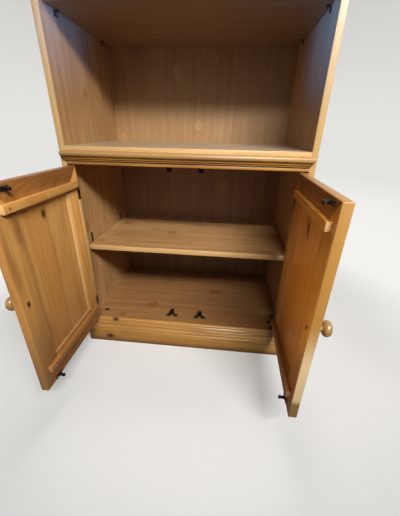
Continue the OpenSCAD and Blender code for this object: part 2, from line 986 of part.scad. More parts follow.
// the turned outline of a knob, as [radius, height]
knob_outline = concat(
    [[0, 0], [knob_foot_r, 0], [knob_foot_r, knob_len * 0.08],
        [knob_neck_r + 1, knob_len * 0.14], [knob_neck_r, knob_len * 0.24],
        [knob_neck_r + 1, knob_len * 0.34]],
    [for (a = [-55 : 12.5 : 80])
        [knob_half - knob_len * 0.32 * (1 - cos(a)), knob_len * 0.68 + knob_len * 0.32 * sin(a)]],
    [[0, knob_len]]);

module knob() {
    difference() {
        rotate_extrude() polygon(knob_outline);
        knob_fixing(screw_clear);
    }
}

// a plate with a barbed tongue towards the cabinet
module striker() {
    barb = tongue_len - head_w / 2;
    difference() {
        block([-striker_w / 2, 0, -striker_h / 2], [striker_w, striker_t, striker_h]);
        for (s = [-1, 1])
            translate([s * striker_screw_x, striker_t, 0]) rotate([-90, 0, 0]) small_screw();
    }
    linear_extrude(height = tongue_h, center = true)
        polygon([
            [-neck_w / 2, 0], [neck_w / 2, 0], [neck_w / 2, barb - head_w / 4],
            [head_w / 2, barb], [head_w / 2, barb + head_w / 8], [head_w / 3, tongue_len],
            [-head_w / 3, tongue_len], [-head_w / 2, barb + head_w / 8],
            [-head_w / 2, barb], [-neck_w / 2, barb - head_w / 4]
        ]);
}

// puts a closed right-hand door's piece in its open place
module opened() {
    translate([pin_x, pin_y, 0]) rotate([0, 0, door_open]) translate([-pin_x, -pin_y, 0])
        children();
}

// the same on the left-hand side
module opened_left() {
    mirror([1, 0, 0]) opened() children();
}

module left_hinge_stile() {
    color(wood) opened_left() hinge_stile();
}

module left_meeting_stile() {
    color(wood) opened_left() meeting_stile();
}

module left_top_rail() {
    color(wood) opened_left() top_rail();
}

module left_bottom_rail() {
    color(wood) opened_left() bottom_rail();
}

module left_panel() {
    color(wood) opened_left() door_panel();
}

module left_beads() {
    color(wood) opened_left() beads();
}

module left_top_batten() {
    color(wood) opened_left() batten(high_batten_z);
}

module left_bottom_batten() {
    color(wood) opened_left() batten(low_batten_z);
}

module left_plugs() {
    color(pale) opened_left() plug_places() plug();
}

module left_screws() {
    color(steel) opened_left() door_screws();
}

module left_knob() {
    color(pale) opened_left() knob_place() knob();
}

module left_knob_screw() {
    color(steel) opened_left() knob_place() knob_fixing();
}

module left_strikers() {
    color(dark) opened_left() striker_places() striker();
}

module left_leaves() {
    color(dark) opened_left() {
        for (z = hinge_zs) door_leaf(z);
    }
}

module right_hinge_stile() {
    color(wood) opened() hinge_stile();
}

module right_meeting_stile() {
    color(wood) opened() meeting_stile();
}

module right_top_rail() {
    color(wood) opened() top_rail();
}

module right_bottom_rail() {
    color(wood) opened() bottom_rail();
}

module right_panel() {
    color(wood) opened() door_panel();
}

module right_beads() {
    color(wood) opened() beads();
}

module right_top_batten() {
    color(wood) opened() batten(high_batten_z);
}

module right_bottom_batten() {
    color(wood) opened() batten(low_batten_z);
}

module right_plugs() {
    color(pale) opened() plug_places() plug();
}

module right_screws() {
    color(steel) opened() door_screws();
}

module right_knob() {
    color(pale) opened() knob_place() knob();
}

module right_knob_screw() {
    color(steel) opened() knob_place() knob_fixing();
}

module right_strikers() {
    color(dark) opened() striker_places() striker();
}

module right_leaves() {
    color(dark) opened() {
        for (z = hinge_zs) door_leaf(z);
    }
}

side_left();
side_right();
side_lippings();
top_board();
cornice();
mid_shelf();
mid_shelf_lipping();
mid_moulding();
mid_rail();
cupboard_floor();
plinth_front();
plinth_rear();
plinth_bearer();
plinth_blocks();
floor_screws();
back_lower();
back_upper();
back_pins();
carcass_dowels();
cupboard_shelf();
open_shelf();
high_shelf();
shelf_lippings();
shelf_clips();
door_stops();
catches_lower();
catches_upper();
catch_screws();
side_leaves();
hinge_pins();
side_leaf_screws();
left_hinge_stile();
left_meeting_stile();
left_top_rail();
left_bottom_rail();
left_panel();
left_beads();
left_top_batten();
left_bottom_batten();
left_plugs();
left_screws();
left_knob();
left_knob_screw();
left_strikers();
left_leaves();
right_hinge_stile();
right_meeting_stile();
right_top_rail();
right_bottom_rail();
right_panel();
right_beads();
right_top_batten();
right_bottom_batten();
right_plugs();
right_screws();
right_knob();
right_knob_screw();
right_strikers();
right_leaves();
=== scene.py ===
import json
import math
import random

import bmesh
import bpy
from mathutils import Matrix, Vector


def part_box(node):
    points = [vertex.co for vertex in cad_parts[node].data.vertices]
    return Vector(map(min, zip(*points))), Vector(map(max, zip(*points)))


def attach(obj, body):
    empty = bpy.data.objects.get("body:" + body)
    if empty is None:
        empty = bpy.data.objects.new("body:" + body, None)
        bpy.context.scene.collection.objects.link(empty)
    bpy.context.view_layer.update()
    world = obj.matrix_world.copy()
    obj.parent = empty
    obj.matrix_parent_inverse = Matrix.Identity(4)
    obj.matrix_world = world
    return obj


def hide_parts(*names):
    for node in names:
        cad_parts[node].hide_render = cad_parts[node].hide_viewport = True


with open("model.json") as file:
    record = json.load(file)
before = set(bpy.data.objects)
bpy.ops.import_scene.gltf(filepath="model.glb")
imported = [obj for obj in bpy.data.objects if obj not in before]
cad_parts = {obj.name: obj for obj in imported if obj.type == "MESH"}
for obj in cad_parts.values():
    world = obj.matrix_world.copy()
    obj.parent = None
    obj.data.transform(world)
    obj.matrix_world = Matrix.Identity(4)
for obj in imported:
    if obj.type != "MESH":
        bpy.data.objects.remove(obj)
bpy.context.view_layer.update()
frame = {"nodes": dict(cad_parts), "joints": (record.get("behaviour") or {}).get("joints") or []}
nodes = frame["nodes"]
scene = bpy.context.scene
mm = 0.001
print("frame loaded:", len(nodes), "CAD nodes")


# ---- camera, floor and light ----
camera = {
    "place": (0.1359, -1.0806, 0.7806),
    "heading": 5.604,  # degrees to the left
    "tilt": 26.878,  # degrees down
    "roll": 1.191,
    "lens": 19.212,
    "shift": (0.0027, 0.0206),
}
cameraData = bpy.data.cameras.new("camera")
cameraData.lens = camera["lens"]
cameraData.shift_x, cameraData.shift_y = camera["shift"]
cameraObject = bpy.data.objects.new("camera", cameraData)
cameraObject.matrix_world = (
    Matrix.Translation(camera["place"])
    @ Matrix.Rotation(math.radians(camera["heading"]), 4, "Z")
    @ Matrix.Rotation(math.radians(90 - camera["tilt"]), 4, "X")
    @ Matrix.Rotation(math.radians(camera["roll"]), 4, "Z")
)
scene.collection.objects.link(cameraObject)
scene.camera = cameraObject
scene.view_settings.view_transform = "Standard"


# ---- shader helpers ----
class Field:
    # a socket that takes part in Python arithmetic
    def __init__(self, finish, socket):
        self.finish, self.socket = finish, socket

    def __add__(self, other):
        return self.finish.maths("ADD", self, other)

    def __radd__(self, other):
        return self.finish.maths("ADD", other, self)

    def __sub__(self, other):
        return self.finish.maths("SUBTRACT", self, other)

    def __rsub__(self, other):
        return self.finish.maths("SUBTRACT", other, self)

    def __mul__(self, other):
        return self.finish.maths("MULTIPLY", self, other)

    def __rmul__(self, other):
        return self.finish.maths("MULTIPLY", other, self)

    def __truediv__(self, other):
        return self.finish.maths("DIVIDE", self, other)

    def __rtruediv__(self, other):
        return self.finish.maths("DIVIDE", other, self)


class Finish:
    # the nodes of one material
    def __init__(self, name, tree=None):
        if tree is None:
            self.material = bpy.data.materials.new(name)
            self.material.use_nodes = True
            tree = self.material.node_tree
        self.tree = tree
        self.shader = tree.nodes.get("Principled BSDF")

    def node(self, kind, settings=None, sockets=None, output=0):
        made = self.tree.nodes.new("ShaderNode" + kind)
        for key, value in (settings or {}).items():
            if key == "stops":
                ramp = made.color_ramp.elements
                while len(ramp) < len(value):
                    ramp.new(0.5)
                for element, (position, colour) in zip(ramp, value):
                    element.position, element.color = position, colour
            else:
                setattr(made, key, value)
        for key, value in (sockets or {}).items():
            self.connect(value, made.inputs[key])
        return Field(self, made.outputs[output])

    def connect(self, value, socket):
        if isinstance(value, Field):
            self.tree.links.new(value.socket, socket)
        else:
            socket.default_value = value

    def maths(self, operation, *values):
        return self.node("Math", {"operation": operation}, dict(enumerate(values)))

    def mix(self, factor, first, second):
        settings = {"data_type": "RGBA", "blend_type": "MIX"}
        return self.node("Mix", settings, {0: factor, 6: first, 7: second}, 2)

    def span(self, first, second):
        # the length of the diagonal of two distances
        return self.maths("SQRT", first * first + second * second)

    def dice(self, value):
        settings = {"noise_dimensions": "1D"}
        return self.node("TexWhiteNoise", settings, {"W": value})

    def fade(self, value, start, end, most=1.0):
        # 0 at start, most at end, smooth between
        settings = {"interpolation_type": "SMOOTHSTEP"}
        sockets = {"Value": value, "From Min": start, "From Max": end, "To Max": most}
        return self.node("MapRange", settings, sockets)

    def noise(self, x, y, z, detail):
        place = self.node("CombineXYZ", {}, {0: x, 1: y, 2: z})
        sockets = {"Vector": place, "Scale": 1.0, "Detail": detail}
        return self.node("TexNoise", {}, sockets)

    def place(self):
        # object coordinates as x, y and z
        where = self.node("TexCoord", {}, {}, 3)
        return [self.node("SeparateXYZ", {}, {0: where}, axis) for axis in range(3)]

    def close(self, colour, roughness, height=None, depth=0.0, strength=0.0):
        self.connect(colour, self.shader.inputs["Base Color"])
        self.connect(roughness, self.shader.inputs["Roughness"])
        if height is not None:
            sockets = {"Height": height, "Distance": depth, "Strength": strength}
            self.connect(self.node("Bump", {}, sockets), self.shader.inputs["Normal"])
        return self.material


def rgba(red, green, blue):
    return (red, green, blue, 1.0)


def fromScreen(red, green, blue):
    # a colour as it looks on a screen, 0 to 255, as linear values
    return rgba(*[((c / 255 + 0.055) / 1.055) ** 2.4 for c in (red, green, blue)])


# ---- stage ----
frontTint, rearTint = (1, 0.98, 0.95), (1, 0.99, 0.97)
amberTint, blueTint = (1, 0.8, 0.52), (0.05, 0.24, 1)
stage = {
    "horizon": fromScreen(228, 227, 224),
    "zenith": fromScreen(207, 206, 203),
    "skyFade": (0.0, 0.36),
    "sky": rgba(0.86, 0.93, 1.0),
    "skyStrength": 0.02,
    "floorSeen": rgba(0.66, 0.663, 0.663),
    "floorBounce": rgba(0.13, 0.128, 0.125),
    "floorRough": 0.9,
    "floorGlow": 0.28,
    "floorTones": (fromScreen(206, 205, 202), fromScreen(243, 242, 239)),  # painted light: the floor's glow darker at the front and lighter at the rear; front, rear
    "floorTurn": (-1.0, -0.3),
    "floorToGlow": (0.55, 1.25),  # over this distance it stops taking light
    "floorToHorizon": (1.6, 6.0),
    "floorSize": 14.0,
    "floorDrop": 0.5 * mm,
    "lamps": {  # place, aim, size, power, tint, spread in degrees
        "key": ((0.75, -1.76, 1.88), (0, -0.1, 0.42), (1.3, 0.2), 17.0, frontTint, 75),
        "side": ((1.2, -1.7, 1.7), (0, 0, 0.5), (0.6, 0.3), 3.0, frontTint, 180),
        "low": ((-1.35, -1.25, 0.34), (0.38, -0.52, 0.4), (0.5, 0.3), 0.34, amberTint, 21),
        "coolLeft": ((-1.0, -1.2, 0.9), (0.38, -0.16, 1.02), (0.1, 0.1), 0.45, blueTint, 13),
        "coolRight": ((1.0, -1.2, 0.9), (-0.38, -0.18, 1.04), (0.1, 0.1), 0.36, blueTint, 13),
        "left": ((-2.2, 1.6, 1.7), (-0.4, 0.3, 1.2), (1.0, 1.0), 8.0, rearTint, 36),
        "right": ((2.2, 1.6, 1.7), (0.4, 0.3, 1.2), (1.0, 1.0), 8.0, rearTint, 36),
        "rear": ((0, 2.6, 1.0), (0, 0.2, 0.9), (1.0, 1.0), 7.0, rearTint, 40),
        "crown": ((0.3, -2.7, 1.9), (0, -0.2, 1.72), (0.5, 0.3), 2.2, frontTint, 26),
        "behind": ((0, 1.25, 1.7), (0, 0.85, 0), (1.6, 0.5), 3.0, rearTint, 50),
        "top": ((0, 0.3, 3.4), (0, 0, 1.8), (0.7, 0.7), 2.5, rearTint, 24),
    },
    # lamps that give no highlights
    "soft": ("left", "right", "rear", "behind", "coolLeft", "coolRight"),
}

world = bpy.data.worlds.new("studio")
world.use_nodes = True
scene.world = world
sky = Finish("sky", world.node_tree)
rays = [sky.node("LightPath", {}, {}, output) for output in (0, 3, 11)]
direct = sky.maths("MAXIMUM", rays[0], sky.maths("MAXIMUM", rays[1], rays[2]))
facing = sky.node("TexCoord", {}, {}, 0)
lookZ = sky.node("SeparateXYZ", {}, {0: facing}, 2)
seen = sky.mix(sky.fade(lookZ, *stage["skyFade"]), stage["horizon"], stage["zenith"])
background = world.node_tree.nodes["Background"]
sky.connect(sky.mix(direct, stage["sky"], seen), background.inputs["Color"])
sky.connect(
    direct * (1.0 - stage["skyStrength"]) + stage["skyStrength"],
    background.inputs["Strength"],
)

bm = bmesh.new()
bmesh.ops.create_grid(bm, x_segments=1, y_segments=1, size=stage["floorSize"] / 2)
floorMesh = bpy.data.meshes.new("floor")
bm.to_mesh(floorMesh)
bm.free()
floorObject = bpy.data.objects.new("floor", floorMesh)
floorObject.location.z = -stage["floorDrop"]
scene.collection.objects.link(floorObject)

ground = Finish("floorPaint")
x, y = ground.place()[:2]
away = ground.span(x, y)
toCamera = ground.node("LightPath", {}, {}, 0)
coat = ground.mix(toCamera, stage["floorBounce"], stage["floorSeen"])
ground.close(coat, stage["floorRough"])
near = ground.mix(ground.fade(y, *stage["floorTurn"]), *stage["floorTones"])
wall = ground.mix(ground.fade(away, *stage["floorToHorizon"]), near, stage["horizon"])
flat = ground.node("Emission", {}, {0: wall, 1: 1.0})
glow = ground.fade(away, *stage["floorToGlow"], 1 - stage["floorGlow"])
shown = (glow + stage["floorGlow"]) * toCamera
lit = Field(ground, ground.shader.outputs[0])
blended = ground.node("MixShader", {}, {0: shown, 1: lit, 2: flat})
ground.connect(blended, ground.tree.nodes["Material Output"].inputs["Surface"])
floorMesh.materials.append(ground.material)

for lampName, (place, aim, size, power, tint, spread) in stage["lamps"].items():
    lamp = bpy.data.lights.new(lampName, "AREA")
    lamp.shape, lamp.energy, lamp.color = "RECTANGLE", power, tint
    lamp.size, lamp.size_y = size
    lamp.spread = math.radians(spread)
    lampObject = bpy.data.objects.new(lampName, lamp)
    turn = (Vector(aim) - Vector(place)).to_track_quat("-Z", "Y").to_matrix().to_4x4()
    lampObject.matrix_world = Matrix.Translation(place) @ turn
    lampObject.visible_glossy = lampName not in stage["soft"]
    scene.collection.objects.link(lampObject)
print("stage set")


# ---- wood ----
looks = {
    # lacquered solid pine of the doors and mouldings
    "honey": {
        "early": fromScreen(210, 160, 92),
        "late": fromScreen(167, 112, 52),
        "deep": fromScreen(175, 114, 48),
        "contrast": 0.46,
        "blotch": 0.65,
        "smear": 0.6,
        "ringWidth": 3.6 * mm,
        "sway": 0.010,
        "tilt": (0.004, 0.012),
        "rough": 0.40,
        "coat": 0.22,
        "coatRough": 0.22,
        "relief": 0.35,
    },
    # the thin solid strips on the front edges
    "edge": {
        "early": fromScreen(198, 162, 111),
        "late": fromScreen(172, 129, 76),
        "deep": fromScreen(179, 136, 81),
        "contrast": 0.55,
        "blotch": 0.4,
        "smear": 0.15,
        "ringWidth": 3.4 * mm,
        "sway": 0.012,
        "tilt": (0.006, 0.02),
        "rough": 0.38,
        "coat": 0.25,
        "coatRough": 0.22,
        "relief": 0.3,
    },
    # softwood without lacquer
    "raw": {
        "early": fromScreen(200, 168, 124),
        "late": fromScreen(172, 133, 89),
        "deep": fromScreen(179, 143, 98),
        "contrast": 0.6,
        "blotch": 0.5,
        "smear": 0.1,
        "ringWidth": 4.5 * mm,
        "sway": 0.03,
        "tilt": (0.012, 0.04),
        "rough": 0.78,
        "coat": 0.0,
        "coatRough": 0.22,
        "relief": 0.8,
    },
    # pine printed on the foil of the sides and shelves
    "foil": {
        "early": fromScreen(182, 143, 96),
        "late": fromScreen(143, 104, 63),
        "deep": fromScreen(150, 111, 68),
        "ring": fromScreen(112, 68, 32),
        "contrast": 0.75,
        "blotch": 0.4,
        "rough": 0.36,
    },
}


def tinted(base, *tints, **changes):
    # a known look in other colours, with what else it changes
    colours = zip(("early", "late", "deep"), [fromScreen(*tint) for tint in tints])
    return {**looks[base], **dict(colours), **changes}


# the same print, thinner, on the back panels
looks["back"] = tinted(
    "foil", (165, 130, 89), (143, 104, 63), (150, 111, 68),
    ring=fromScreen(186, 148, 104), contrast=0.6, rough=0.46,
)
# the cupboard's floor and back drawn darker: painted shade inside the cupboard
looks["inner"] = tinted("foil", (151, 112, 72), (122, 85, 49), (126, 84, 46))
looks["innerBackShaded"] = tinted("back", (143, 107, 70), (113, 78, 45), (112, 74, 41))
# the fixed shelf, drawn paler and greyer: dust and a painted sheen
looks["dustAndSheen"] = tinted("foil", (183, 163, 140), (160, 136, 110), (165, 141, 114), rough=0.3)
# the darker, wilder boards of the door rails, and the bottom batten
looks["rail"] = tinted(
    "honey", (161, 109, 56), (113, 69, 30), (120, 73, 28),
    contrast=0.6, sway=0.03, tilt=(0.03, 0.07),
)
looks["batten"] = tinted("honey", (190, 139, 76), (148, 98, 46), (152, 97, 41))
# the right-hand door drawn redder than the left: painted shade and warm bounce light on its
# inside
looks["amberShaded"] = tinted("honey", (209, 141, 55), (164, 100, 30), (173, 102, 28))
looks["amberShadedEdge"] = tinted("edge", (190, 134, 66), (158, 100, 42), (160, 100, 40))
looks["amberShadedRail"] = tinted("rail", (153, 94, 41), (107, 58, 21), (113, 62, 21))
looks["lip"] = tinted("edge", (193, 159, 107), (168, 130, 76), (177, 135, 81))
looks["mould"] = tinted(
    "honey", (166, 118, 50), (123, 79, 27), (132, 84, 25), contrast=0.55
)
# scuffed and darker than the doors
looks["plinth"] = tinted(
    "honey", (205, 156, 83), (147, 99, 44), (157, 107, 46),
    contrast=0.85, smear=0.55, ringWidth=3.2 * mm, rough=0.34,
)
looks["turned"] = tinted(
    "edge", (154, 121, 70), (134, 97, 51), (138, 101, 54), coat=0.6, coatRough=0.12
)
looks["plug"] = tinted("raw", (218, 190, 148), (196, 161, 115), (205, 172, 126))

knotColour = {"heart": fromScreen(54, 27, 12), "rim": fromScreen(100, 54, 23)}
# a blue-grey brown for painted shade on the lower faces of boards
underShadeColour = fromScreen(88, 62, 50)
# near black for painted shade in screw holes and round slots
holeShadeColour = fromScreen(34, 18, 9)
endColour = fromScreen(216, 176, 128)
# a dark brown for the grain's smears and for painted shade
smearAndShadeColour = fromScreen(108, 62, 24)
# a yellow-brown for painted light and shade on edges and faces
edgeColour = fromScreen(138, 108, 56)
paleColour = fromScreen(240, 214, 170)
noseColour = fromScreen(176, 146, 100)
outerColour = fromScreen(192, 142, 78)
bareColours = {
    "chips": (fromScreen(176, 142, 100), fromScreen(120, 88, 56)),
    "fibre": (fromScreen(118, 87, 58), fromScreen(146, 112, 77)),
}


grain = {
    # noises: how fine across and along the grain, and their detail
    "swayNoise": (3.2, 1.1, 2.0),
    "rippleNoise": (34, 4.5, 3.0),
    "fibreNoise": (300, 7, 3.0),
    "blotchNoise": (9, 1.7, 3.0),
    "fleckNoise": (420, 30, 1.0),
    "smearNoise": (17, 3.0, 5.0),
    # the tree's heart: share of the width aside, depth behind the board
    "heartAside": 0.35,
    "heartDepth": (0.035, 0.07),
    "ripple": 0.0030,
    # boards glued edge to edge, each from another part of the tree
    "boardAcross": 0.16,
    "boardAlong": 1.7,
    "boardTone": 0.55,
    "blotchLeft": 0.6,
    "seam": (1.1 * mm, 0.2 * mm, 0.6),
    # knots, in shares of their radius
    "knotLength": 1.55,
    "knotRagged": 0.7,
    "knotBend": 1.3,
    "knotBendFall": 0.5,
    "knotHeart": (1.05, 0.6),
    "knotRim": (1.9, 1.0),
    "knotRimDark": 0.5,
    "rimMost": 0.8,
    "heartMost": 0.95,
    # one year's ring, from 0 to 1
    "lateRise": (0.25, 0.9),
    "lateFall": (0.9, 1.0),
    "yearSpread": 0.7,
    "yearLeast": 0.45,
    # where each noise starts and ends to show, and how much
    "blotchFade": (0.38, 0.72),
    "smearFade": (0.5, 0.72),
    "fibreFade": (0.42, 0.75, 0.34),
    "fleckFade": (0.62, 0.74, 0.4),
    "softness": 0.3,  # of grooves and ends
    "endPale": 0.75,
    "fibreRough": 0.16,
    "lateRough": 0.06,
    "fibreHeight": 0.6,
    "lateHeight": 0.5,
    "bump": 0.35 * mm,
}


def grainAxes(box, along):
    # a box's sizes and centre by axis, and the axes across the grain, wider first
    low, high = box
    sizes = {axis: high[i] - low[i] for i, axis in enumerate("xyz")}
    centre = {axis: (high[i] + low[i]) / 2 for i, axis in enumerate("xyz")}
    return sizes, centre, sorted((a for a in "xyz" if a != along), key=lambda a: -sizes[a])


def wood(
    name, box, along, look, knots=(), boardWidth=0.0, grooveShades=(),
    boardStart=0.0, endGrain=0.0, shades=(),
):
    # knots are (across, along, radius, darkness), grooves (height, half width, darkness) of
    # painted shade
    # and shades ([(axis, from, to)], amount, colour)
    values = looks[look]
    finish = Finish(name)
    chance = random.Random(name)
    sizes, centre, flat = grainAxes(box, along)
    place = dict(zip("xyz", finish.place()))
    across, through, length = place[flat[0]], place[flat[1]], place[along]
    shift = chance.uniform(3.0, 40.0)
    if boardWidth:
        edge = centre[flat[0]] - sizes[flat[0]] / 2 - boardStart
        count = (across - edge) / boardWidth
        board = finish.maths("FLOOR", count)
        fromSeam = finish.maths("FRACT", count + 0.5) - 0.5
        seam = finish.maths("ABSOLUTE", fromSeam) * boardWidth
        dice = finish.dice(board + shift)
        across = across + (dice - 0.5) * grain["boardAcross"]
        length = length + dice * grain["boardAlong"]

    def pattern(kind, moved=(1, 0, 0)):
        # a noise drawn out along the grain; moved tells which coordinates are shifted
        fine, coarse, detail = grain[kind]
        places = [
            value * scale + shift if shifted else value * scale
            for value, scale, shifted in zip(
                (across, through, length), (fine, fine, coarse), moved
            )
        ]
        return finish.noise(*places, detail)

    sway = pattern("swayNoise")
    aside = grain["heartAside"]
    heartAcross = centre[flat[0]] + chance.uniform(-aside, aside) * sizes[flat[0]]
    heartThrough = centre[flat[1]] - chance.uniform(*grain["heartDepth"])
    tilt = chance.choice((-1, 1)) * chance.uniform(*values["tilt"])
    fromHeart = across - heartAcross + (sway - 0.5) * values["sway"] * 2
    above = through - heartThrough + (length - centre[along]) * tilt
    radius = finish.span(fromHeart, above)
    ripple = pattern("rippleNoise")
    radius = radius + (ripple - 0.5) * grain["ripple"]

    knotMask, rimMask = 0.0, 0.0
    for knotAcross, knotAlong, knotRadius, darkness in knots:
        side = (place[flat[0]] - knotAcross) / knotRadius
        run = (place[along] - knotAlong) / (knotRadius * grain["knotLength"])
        gap = finish.span(side, run) + (ripple - 0.5) * grain["knotRagged"]
        fall = gap * gap * grain["knotBendFall"] + 1.0
        radius = radius + (knotRadius * grain["knotBend"]) / fall
        knotMask = finish.fade(gap, *grain["knotHeart"], darkness) + knotMask
        rimShare = darkness * grain["knotRimDark"]
        rimMask = finish.fade(gap, *grain["knotRim"], rimShare) + rimMask

    phase = radius / values["ringWidth"]
    ring = finish.maths("FRACT", phase)
    year = finish.dice(finish.maths("FLOOR", phase) + shift)
    late = finish.fade(ring, *grain["lateRise"]) - finish.fade(ring, *grain["lateFall"])
    late = late * (year * grain["yearSpread"] + grain["yearLeast"])
    fibres = pattern("fibreNoise")
    blotch = pattern("blotchNoise")
    flecks = pattern("fleckNoise", (0, 1, 0))
    smear = pattern("smearNoise", (1, 0, 1))

    deep = finish.fade(blotch, *grain["blotchFade"], values["blotch"])
    if boardWidth:
        deep = deep * grain["blotchLeft"] + dice * grain["boardTone"]
    layers = [
        (deep, values["deep"]),
        (finish.fade(smear, *grain["smearFade"], values["smear"]), smearAndShadeColour),
        (finish.fade(fibres, *grain["fibreFade"]), values["late"]),
        (finish.fade(flecks, *grain["fleckFade"]), values["late"]),
    ]
    if knots:
        rim = finish.maths("MINIMUM", rimMask, grain["rimMost"])
        heart = finish.maths("MINIMUM", knotMask, grain["heartMost"])
        layers += [(rim, knotColour["rim"]), (heart, knotColour["heart"])]
    for height, half, darkness in grooveShades:  # painted shade in each groove of a moulding
        off = finish.maths("ABSOLUTE", place["z"] - height)
        line = finish.fade(off, half, half * grain["softness"], darkness)
        layers.append((line, knotColour["heart"]))
    if boardWidth:
        layers.append((finish.fade(seam, *grain["seam"]), knotColour["rim"]))
    if endGrain:
        off = finish.maths("ABSOLUTE", length - centre[along])
        start, end = (sizes[along] / 2 - endGrain * share for share in (1, grain["softness"]))
        layers.append((finish.fade(off, start, end, grain["endPale"]), endColour))
    for limits, amount, tint in shades:
        for axis, start, end in limits:
            amount = finish.fade(place[axis], start, end, amount)
        layers.append((amount, tint))
    colour = finish.mix(late * values["contrast"], values["early"], values["late"])
    for amount, tint in layers:
        colour = finish.mix(amount, colour, tint)
    rough = values["rough"] + (fibres - 0.5) * grain["fibreRough"] + late * grain["lateRough"]
    finish.connect(values["coat"], finish.shader.inputs["Coat Weight"])
    finish.connect(values["coatRough"], finish.shader.inputs["Coat Roughness"])
    height = fibres * grain["fibreHeight"] + late * grain["lateHeight"]
    return finish.close(colour, rough, height, grain["bump"], values["relief"])


streak = {
    # noises: how fine across the streaks and along them, and their detail
    "swayNoise": (2.5, 0.8, 2.0),
    "rippleNoise": (70, 22, 2.0),
    "bandNoise": (52, 2.4, 5.0),
    "fibreNoise": (300, 20, 3.0),
    "blotchNoise": (6, 1.6, 2.0),
    "speckNoise": (420, 2.0),
    "sway": 0.06,
    # ringed knots, in shares of their size
    "knotLength": 1.4,
    "knotPush": 0.9,
    "knotPushFall": 0.7,
    "knotRagged": 1.5,
    "knotInside": (1.2, 0.5),
    "knotInsideDark": 0.7,
    "knotRing": (0.4, 0.1),
    # where each noise starts and ends to show, and how much
    "bandFade": (0.34, 0.68),
    "blotchFade": (0.36, 0.7),
    "fibreFade": (0.45, 0.75, 0.5),
    "shadeUnderFade": (1.2 * mm, 0.6 * mm),
    # painted shade round the sunk screws' slots: its half sizes and fade
    "slotShade": (10.5 * mm, 8 * mm),
    "slotShadeFade": (1.0, 0.8, 0.95),
    "fibreRough": 0.15,
    "rearSoft": 0.3 * mm,
    "speckFade": (0.4, 0.62),
    "rearRough": 0.85,
    "bump": 0.2 * mm,
    "relief": 0.14,
}


def printed(name, box, along, look="foil", knots=(), behind=None, shadeUnder=0.0, sunk=()):
    # straight printed streaks that part round ringed knots (across, along, radius,
    # darkness); behind is what shows at the rear and from which y, under how much
    # painted shade darkens the lower face, and sunk where painted shade lies round sunk screws
    values = looks[look]
    finish = Finish(name)
    chance = random.Random(name)
    place = dict(zip("xyz", finish.place()))
    run, side = place[along], place[grainAxes(box, along)[2][0]]
    shift = chance.uniform(3.0, 40.0)

    def pattern(kind, across, third=1.0):
        # a noise drawn out along the streaks
        fine, coarse, detail = streak[kind]
        return finish.noise(across * fine + shift, third, run * coarse, detail)

    sway = pattern("swayNoise", side)
    ripple = pattern("rippleNoise", side, 2.0)
    flow = side + (sway - 0.5) * streak["sway"]
    rings = []
    for knotAcross, knotAlong, size, darkness in knots:
        offSide = (side - knotAcross) / size
        offRun = (run - knotAlong) / (size * streak["knotLength"])
        gap = finish.span(offSide, offRun)
        fall = gap * gap + streak["knotPushFall"]
        flow = flow - offSide * (size * streak["knotPush"]) / fall
        rings.append((gap + (ripple - 0.5) * streak["knotRagged"], darkness))
    bands = pattern("bandNoise", flow, 3.0)
    fine, coarse, detail = streak["fibreNoise"]
    fibres = finish.noise(flow * fine, shift, run * coarse, detail)
    blotch = pattern("blotchNoise", side)
    deep = finish.fade(blotch, *streak["blotchFade"], values["blotch"])
    dark = finish.fade(fibres, *streak["fibreFade"])
    layers = [(deep, values["deep"]), (dark, values["late"])]
    for gap, darkness in rings:
        inner = darkness * streak["knotInsideDark"]
        inside = finish.fade(gap, *streak["knotInside"], inner)
        off = finish.maths("ABSOLUTE", gap - 1.0)
        ring = finish.fade(off, *streak["knotRing"], darkness)
        layers += [(inside, values["ring"]), (ring, values["ring"])]
    # painted shade: the lower face drawn darker
    if shadeUnder:
        start, end = (box[0].z + rise for rise in streak["shadeUnderFade"])
        layers.append((finish.fade(place["z"], start, end, shadeUnder), underShadeColour))
    # painted shade round the sunk screws' slots, wider than the slots
    wide, long = streak["slotShade"]
    for slotX, slotY in sunk:
        gap = finish.span((place["x"] - slotX) / wide, (place["y"] - slotY) / long)
        layers.append((finish.fade(gap, *streak["slotShadeFade"]), holeShadeColour))
    streaks = finish.fade(bands, *streak["bandFade"], values["contrast"])
    colour = finish.mix(streaks, values["early"], values["late"])
    for amount, tint in layers:
        colour = finish.mix(amount, colour, tint)
    rough = values["rough"] + (fibres - 0.5) * streak["fibreRough"]
    if behind:
        surface, start = behind
        rearward = finish.fade(place["y"], start, start + streak["rearSoft"])
        fine, detail = streak["speckNoise"]
        specks = finish.noise(*[place[axis] * fine for axis in "xyz"], detail)
        speckled = finish.fade(specks, *streak["speckFade"])
        bare = finish.mix(speckled, *bareColours[surface])
        colour = finish.mix(rearward, colour, bare)
        rough = rough + rearward * (streak["rearRough"] - rough)
    return finish.close(colour, rough, fibres, streak["bump"], streak["relief"])


# ---- metal and plastic ----
hardware = {
    "bronze": {
        "body": rgba(0.020, 0.014, 0.013),
        "worn": rgba(0.15, 0.105, 0.08),
        "wear": (0.56, 0.70),
        "metallic": 0.75,
        "rough": 0.30,
        "patches": (160, 160, 160),
        "patchRough": 0.3,
        "wornRough": -0.06,
        "wornHeight": -0.5,
        "grain": (1500, 2.0),
        "bump": 0.05 * mm,
    },
}
